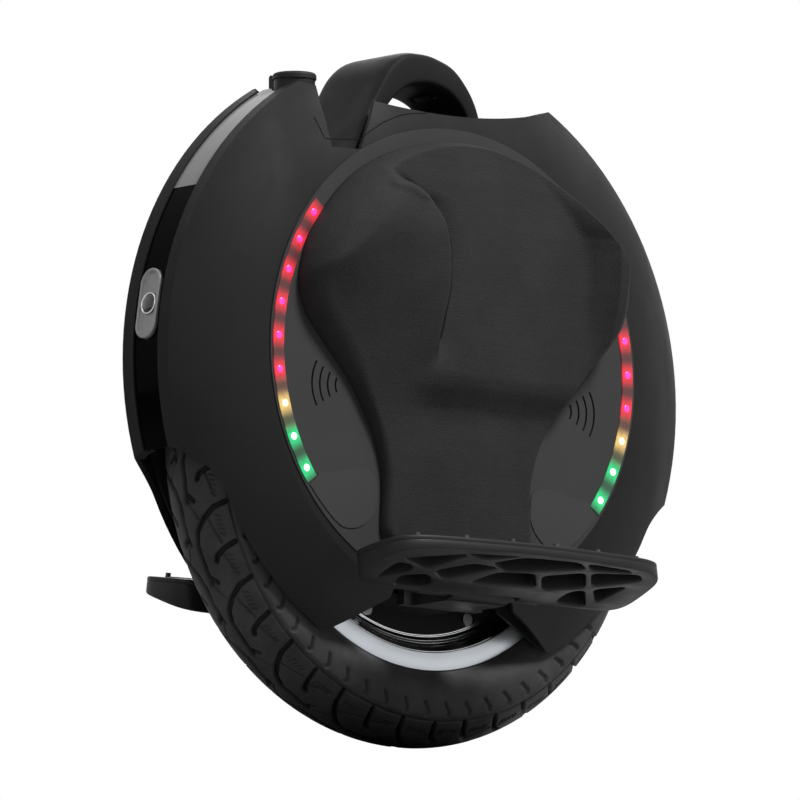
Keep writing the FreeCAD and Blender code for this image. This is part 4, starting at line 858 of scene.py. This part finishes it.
# Handle: one moulded loop with soft edges; (x, z) outlines and (x, half width) plan
HANDLE_OUTER = [
    (94, 432), (79.5, 450), (61.5, 478), (52, 493.5), (42, 508.5), (27, 519.5), (8, 521.5),
    (-10, 519.5), (-29, 513.5), (-44, 500), (-53, 486), (-58, 470.4), (-61, 449.4),
]
HANDLE_INNER = [
    (73, 432), (61, 450), (46, 472), (35, 484.5), (20, 494), (0, 497.5), (-21, 494), (-36, 484),
    (-44, 468.4), (-46, 449.4),
]
HANDLE_PLAN = [(-70, 24), (-30.5, 29), (0, 35), (35, 38), (58, 37.5), (73, 43.5), (88, 49.5), (100, 54)]
HANDLE_SQUARENESS = 7.0
LIFT_X = -21.0
LIFT_Z = 494.0
LIFT_LEAN = 20.0
POCKET_WIDTH = 8.7
POCKET_LENGTH = 16.7
POCKET_SPAN = (-6.0, 13.4)


def make_handle():
    """Loop handle lofted through rounded sections, with a pocket for the lift button."""
    stations, sides = 72, 44
    plan_x, plan_half = np.array(HANDLE_PLAN, float).T
    around = np.array(circle(sides))
    power = 2 / HANDLE_SQUARENESS
    u = np.sign(np.cos(around)) * np.abs(np.cos(around)) ** power
    v = np.sign(np.sin(around)) * np.abs(np.sin(around)) ** power
    loops = []
    for outer, inner in zip(spline(HANDLE_OUTER, stations), spline(HANDLE_INNER, stations)):
        middle = (outer + inner) / 2
        reach = (outer - inner) / 2
        x = middle[0] + reach[0] * u
        width = np.interp(x, plan_x, plan_half)
        loops.append(np.stack([x, width * v, middle[1] + reach[1] * u], axis=-1))
    obj = piece("handle_loop", np.vstack(loops), capped_tube(stations, sides), "handle_plastic",
                "handle", ["handle"])
    tidy_mesh(obj)
    cut_pocket(obj)


def cut_pocket(obj):
    """Oval pocket for the lift button, cut into the inside of the loop."""
    count = 40
    turn = math.radians(-LIFT_LEAN)
    points = []
    for depth in POCKET_SPAN:
        for x, y in stadium(POCKET_WIDTH, POCKET_LENGTH, count, 0.0):
            px = x * math.cos(turn) + depth * math.sin(turn)
            pz = -x * math.sin(turn) + depth * math.cos(turn)
            points.append(((LIFT_X + px) * MM, y * MM, (LIFT_Z + pz) * MM))
    mesh = bpy.data.meshes.new("pocket")
    mesh.from_pydata(points, [], capped_tube(2, count))
    cutter = bpy.data.objects.new("pocket", mesh)
    scene.collection.objects.link(cutter)
    tidy_mesh(cutter)
    change = obj.modifiers.new("pocket", "BOOLEAN")
    change.operation = "DIFFERENCE"
    change.solver = "EXACT"
    change.object = cutter
    cut = evaluated_mesh(obj)
    obj.modifiers.clear()
    obj.data = cut
    bpy.data.objects.remove(cutter)


make_handle()


# Pedals: cast deck over a web of ribs, in (along, out) from the hinge
PEDAL_CELLS = [
    [(115, 20), (93, 36), (100, 45), (115, 47)],
    [(113, 54), (62, 70), (83, 42)],
    [(67, 70), (18, 74), (46, 64)],
    [(73, 41), (50, 56), (24, 54), (57, 30)],
    [(92, 14), (97, 28), (77, 34), (64, 24), (64, 14)],
    [(32, 61), (11, 73), (-37, 74), (-50, 66), (13, 51)],
    [(30, 29), (19, 47), (-13, 51), (-28, 33)],
    [(-24, 49), (-55, 60), (-71, 40), (-39, 30)],
    [(-64, 14), (-64, 30), (-75, 35), (-93, 13)],
    [(-49, 74), (-89, 71), (-94, 68), (-58, 65)],
    [(-63, 61), (-103, 66), (-112, 58), (-77, 43)],
    [(-82, 38), (-107, 47), (-99, 20)],
]
CELL_GROWTH = 1.07
CELL_RADIUS = 6.5
PEDAL_PLAN = [
    (29, 8), (60, 8), (104, 8), (117, 9.4), (126, 14.5), (130.2, 25), (130.3, 48), (127, 60),
    (118, 68.5), (100, 74), (60, 77.8), (25, 79.7), (0, 80.2),
]
PEDAL_ROOM = [(0, 13.8), (28.9, 13.8)]
PEDAL_REACH = 80.0
# The web's floor rises from the hinge to the outer edge
WEB_FLOOR = -13.0
WEB_FLOOR_RISE = 17.0
WEB_TOP = 9.6
WEB_BEVEL = 1.3
DECK_LOW = 8.6
DECK_THICKNESS = 4.4
DECK_BEVEL = 2.2
BRACKET_LOW = -8.0
KNUCKLE_SPAN = (28.6, 58.4)
BRACKET_SPAN = (28.8, 58.2)
PEDAL_MERGE = 0.00001  # metres
PEDAL_SHARP_ANGLE = 32


def rounded_corners(points, radius):
    """Closed polygon with its corners cut by short curves."""
    made = []
    for k, corner in enumerate(points):
        ends = []
        for other in (points[k - 1], points[(k + 1) % len(points)]):
            along = other - corner
            length = np.linalg.norm(along)
            ends.append(corner + along / length * min(radius, length * 0.4))
        for t in (0.0, 0.25, 0.5, 0.75, 1.0):
            made.append((1 - t) ** 2 * ends[0] + 2 * t * (1 - t) * corner + t * t * ends[1])
    return made


def knuckle(x0, x1):
    """Hinge barrel with chamfered ends, as points and faces."""
    count = 32
    profile = [(x0, 5.1), (x0, 8.2), (x0 + 0.8, 9.0), (x1 - 0.8, 9.0), (x1, 8.2), (x1, 5.1)]
    points = [(x, r * math.cos(a), r * math.sin(a)) for x, r in profile for a in circle(count)]
    return points, grid_faces(len(profile), count, True, True)


def bracket(x0, x1):
    """Block from a hinge barrel to the deck, with cut edges."""
    outline = [(x0 + 1, 3), (x1 - 1, 3), (x1, 4), (x1, 12), (x0, 12), (x0, 4)]
    points = [(x, y, z) for z in (BRACKET_LOW, DECK_LOW) for x, y in outline]
    return points, capped_tube(2, len(outline))


def pedal_points():
    """Points and faces of the left pedal in hinge coordinates."""
    outline = mirrored_loop(np.vstack([PEDAL_ROOM, spline(PEDAL_PLAN, 110)]))
    cells = []
    for cell in PEDAL_CELLS:
        centre = np.mean(cell, axis=0)
        cells.append(rounded_corners(centre + (np.array(cell) - centre) * CELL_GROWTH, CELL_RADIUS))
    web, web_faces = plate_from_outlines([outline, *cells], WEB_BEVEL)
    floor = WEB_FLOOR + WEB_FLOOR_RISE * web[:, 1] / PEDAL_REACH
    web[:, 2] = floor + (WEB_TOP - floor) * web[:, 2]
    deck, deck_faces = plate_from_outlines([outline], DECK_BEVEL)
    deck[:, 2] = DECK_LOW + DECK_THICKNESS * deck[:, 2]
    parts = [(web, web_faces), (deck, deck_faces)]
    for make, (near, far) in ((knuckle, KNUCKLE_SPAN), (bracket, BRACKET_SPAN)):
        parts += [make(near, far), make(-far, -near)]
    points, faces = [], []
    for part, part_faces in parts:
        faces += shifted(part_faces, len(points))
        points += list(part)
    return np.array(points), faces


def make_pedals():
    """Both pedals on their hinges."""
    points, faces = pedal_points()
    tilt = math.radians(PEDAL_TILT)
    y = HINGE_Y + points[:, 1] * math.cos(tilt) - points[:, 2] * math.sin(tilt)
    z = HINGE_Z + points[:, 1] * math.sin(tilt) + points[:, 2] * math.cos(tilt)
    for side, name in SIDES:
        placed = np.stack([points[:, 0], side * y, z], axis=-1)
        obj = piece("pedal_casting_" + name, placed, faces, "pedal_alloy", "pedal_" + name,
                    ["pedal_" + name], smooth=False)
        tidy_mesh(obj, PEDAL_MERGE, PEDAL_SHARP_ANGLE)


make_pedals()


# Lower covers: thin leaves with a waved upper edge, front and rear
COVER_OUTLINE = [
    (131, 190.2), (122, 190.6), (112, 192.4), (100, 195.2), (89, 196.3), (80.5, 194.6), (75.6, 190),
    (74.3, 182), (74.5, 172), (78, 163.5), (85, 156), (93, 152), (102, 150.6), (110, 152.4),
    (119, 159), (128, 167.6), (134.8, 175), (139.2, 180.4),
]
COVER_END = [(132.4, 186.6)]
COVER_THICKNESS = 0.7
COVER_BEVEL = 0.25


def make_covers():
    """Cover leaves on both sides, one piece per side."""
    front = np.vstack([spline(COVER_OUTLINE, 120), COVER_END])
    rear = front[::-1] * np.array([-1, 1])
    points, faces = plate_from_outlines([front, rear], COVER_BEVEL)
    out = INSERT_FACE + COVER_THICKNESS * points[:, 2]
    for side, name in SIDES:
        placed = np.stack([points[:, 0], side * out, points[:, 1]], axis=-1)
        tidy_mesh(piece("lower_cover_leaves_" + name, placed, faces, "inner_plastic", "body",
                        ["lower_covers_" + name], smooth=False, look="lower_cover"))


make_covers()


# Headlight and tail light: pill bezel with a stepped plate, bright ring and dark bowl
LAMP_ANGLE = math.radians(9.0)
PILL_WIDTH = 23.0
PILL_HEIGHT = 54.0
# Steps of the pill as (inset, out), and turned profiles as (radius, out)
PILL_STEPS = [
    (0.0, -3.2), (0.0, 0.3), (0.25, 0.8), (0.8, 1.0), (1.7, 1.0), (2.2, 0.75), (2.5, 0.2),
    (2.7, -0.9), (3.1, -1.2), (5.0, -1.25), (8.0, -1.25), (11.0, -1.25),
]
RING_PROFILE = [(8.4, -1.3), (8.5, 0.2), (8.0, 0.7), (7.4, 0.5), (7.1, -0.4), (7.0, -1.3)]
BOWL_PROFILE = [(7.05, -1.1), (6.2, -2.0), (4.6, -2.9), (2.6, -3.4), (0.9, -3.1), (0.9, -2.2),
                (0.4, -1.9)]
# Turned pieces of a lamp: profile, whether it closes on itself, material
LAMP_PARTS = {"ring": (RING_PROFILE, True, "lamp_mirror"), "bowl": (BOWL_PROFILE, False, "lamp_bowl")}


def at_lamp(points, front):
    """Points given as out, side and up at the lamp, moved to the front or the rear."""
    p = np.asarray(points, float)
    out = SHELL_RADIUS + p[:, 0]
    x = out * math.cos(LAMP_ANGLE) - p[:, 2] * math.sin(LAMP_ANGLE)
    z = SHELL_Z + out * math.sin(LAMP_ANGLE) + p[:, 2] * math.cos(LAMP_ANGLE)
    return np.stack([front * x, p[:, 1], z], axis=-1)


def make_lamps():
    """Bezels, rings and bowls at both ends of the machine."""
    pill_sides, round_sides = 64, 40
    pill = []
    for inset, out in PILL_STEPS:
        shape = stadium(PILL_WIDTH - 2 * inset, PILL_HEIGHT - 2 * inset, pill_sides)
        pill += [(out, across, up) for across, up in shape]
    pill_faces = capped_tube(len(PILL_STEPS), pill_sides, True)
    for front, name in zip(SIGNS, ("headlight", "tail_light")):
        tidy_mesh(piece(name + "_pill", at_lamp(pill, front), pill_faces, "lamp_chrome", "body",
                        [name + "_bezel"]))
        for part, (profile, closed, look) in LAMP_PARTS.items():
            points = [(out, radius * math.cos(a), radius * math.sin(a))
                      for radius, out in profile for a in circle(round_sides)]
            faces = grid_faces(len(profile), round_sides, closed, True)
            piece(name + "_" + part, at_lamp(points, front), faces, "lamp_chrome", "body", look=look)


make_lamps()


# Seams of the shell: thin dark lines on the flank, both sides
FLANK = [(247.0, 26.8), (222.0, 44.5), (177.0, 60.5)]
SEAMS = [
    [(121.5, 460.5), (118.0, 446.5), (115.0, 443.5), (88.0, 445.5), (80.0, 450.5), (64.0, 460.5)],
    [(64.0, 460.5), (44.0, 468.3), (20.0, 472.0)],
]
SEAM_HALF_WIDTH = 0.35
SEAM_LIFT = 0.06


def flank_y(radius):
    """Distance of the flank from the middle plane at a radius from the shell's centre."""
    (x1, y1), (x2, y2), (x3, y3) = FLANK
    d = 2 * (x1 * (y2 - y3) + x2 * (y3 - y1) + x3 * (y1 - y2))
    s1, s2, s3 = x1 * x1 + y1 * y1, x2 * x2 + y2 * y2, x3 * x3 + y3 * y3
    cx = (s1 * (y2 - y3) + s2 * (y3 - y1) + s3 * (y1 - y2)) / d
    cy = (s1 * (x3 - x2) + s2 * (x1 - x3) + s3 * (x2 - x1)) / d
    reach = math.hypot(x1 - cx, y1 - cy)
    return cy + math.sqrt(reach * reach - (radius - cx) ** 2)


def make_seams():
    """Ribbons a hair above the flank."""
    count = 80
    for side, name in SIDES:
        points, faces = [], []
        for path in SEAMS:
            line = spline(path, count)
            along = np.gradient(line, axis=0)
            along /= np.linalg.norm(along, axis=1)[:, None]
            across = np.stack([-along[:, 1], along[:, 0]], axis=1)
            faces += shifted(grid_faces(2, count), len(points))
            for half in (-SEAM_HALF_WIDTH, SEAM_HALF_WIDTH):
                for x, z in line + across * half:
                    y = flank_y(math.hypot(x, z - SHELL_Z)) + SEAM_LIFT
                    points.append((x, side * y, z))
        piece("shell_seams_" + name, points, faces, "inner_plastic", "body", look="seam_shadow")


make_seams()


# Stage in metres: pale floor that is clear from below, soft lights, white surroundings
FLOOR_REACH = 90
FLOOR_Z = -0.0005


def seen_rays(tree):
    """1 for rays that show the stage itself, 0 for those that light the machine."""
    rays = add(tree, "LightPath").outputs
    mirrored = maths(tree, "MAXIMUM", rays["Is Glossy Ray"], rays["Is Transmission Ray"])
    return maths(tree, "MAXIMUM", rays["Is Camera Ray"], mirrored)


def mixed(tree, factor, first, second):
    """Shader mixed from the outputs of two nodes by a factor."""
    node = add(tree, "MixShader")
    for socket, source in zip(node.inputs, (factor, first.outputs[0], second.outputs[0])):
        put(tree, socket, source)
    return node


def make_floor():
    """Large floor, brighter to the eye than in the light it throws back."""
    mesh = bpy.data.meshes.new("floor")
    corners = ((-1, -1), (1, -1), (1, 1), (-1, 1))
    mesh.from_pydata([(FLOOR_REACH * x, FLOOR_REACH * y, FLOOR_Z) for x, y in corners], [],
                     [(0, 1, 2, 3)])
    floor = bpy.data.objects.new("floor", mesh)
    scene.collection.objects.link(floor)
    look, tree, pale, _ = blank("floor")
    fill(tree, pale, Base_Color=(0.86, 0.86, 0.86, 1), Roughness=0.9, Specular_IOR_Level=0.1)
    dim = add(tree, "BsdfDiffuse", Color=(0.34, 0.34, 0.34, 1))
    above = mixed(tree, seen_rays(tree), dim, pale)
    below = add(tree, "NewGeometry").outputs["Backfacing"]
    both = mixed(tree, below, above, add(tree, "BsdfTransparent"))
    fill(tree, tree.nodes["Material Output"], Surface=both.outputs[0])
    mesh.materials.append(look)


def make_world():
    """White surroundings that light the machine only faintly."""
    world = bpy.data.worlds.new("studio")
    scene.world = world
    world.use_nodes = True
    tree = world.node_tree
    tree.nodes.clear()
    ambient = add(tree, "Background", Color=(1, 1, 1, 1), Strength=0.13)
    white = add(tree, "Background", Color=(1, 1, 1, 1), Strength=1.0)
    both = mixed(tree, seen_rays(tree), ambient, white)
    add(tree, "OutputWorld", Surface=both.outputs[0])


def area_light(name, place, power, size):
    """Soft lamp aimed at the middle of the machine."""
    lamp = bpy.data.lights.new(name, "AREA")
    lamp.energy = power
    lamp.shape = "DISK"
    lamp.size = size
    obj = bpy.data.objects.new(name, lamp)
    obj.location = place
    aim = Vector((0.0, 0.0, 0.27)) - Vector(place)
    obj.rotation_mode = "QUATERNION"
    obj.rotation_quaternion = aim.to_track_quat("-Z", "Y")
    scene.collection.objects.link(obj)


make_floor()
make_world()
area_light("key", (-0.5, 1.6, 2.25), power=88.0, size=0.7)
area_light("top", (0.3, 0.2, 2.5), power=8.0, size=1.2)
area_light("rim", (-1.2, -1.5, 2.1), power=15.0, size=0.5)
area_light("front", (2.2, 0.4, 1.1), power=5.0, size=1.2)


# Camera at the photograph's angle: a long lens, and a picture 0.6 m wide at the machine
AZIMUTH = math.radians(140.5)
ELEVATION = math.radians(-8.0)
CAMERA_SHIFT = Vector((-0.0011, 0.0462, 0.0))
PICTURE_WIDTH = 0.6
LENS = 1000.0
SENSOR = 36.0


def make_camera():
    """Camera that looks at the axle, shifted to frame the whole machine."""
    level = math.cos(ELEVATION)
    back = Vector((math.sin(AZIMUTH) * level, -math.cos(AZIMUTH) * level, math.sin(ELEVATION)))
    data = bpy.data.cameras.new("camera")
    data.sensor_width = SENSOR
    data.lens = LENS
    data.clip_end = 400.0
    camera = bpy.data.objects.new("camera", data)
    camera.rotation_mode = "QUATERNION"
    turn = (-back).to_track_quat("-Z", "Y")
    camera.rotation_quaternion = turn
    aim = Vector((0, 0, AXLE_Z * MM)) + turn @ CAMERA_SHIFT
    camera.location = aim + back * (PICTURE_WIDTH * LENS / SENSOR)
    scene.collection.objects.link(camera)
    scene.camera = camera


make_camera()
scene.view_settings.view_transform = "Standard"
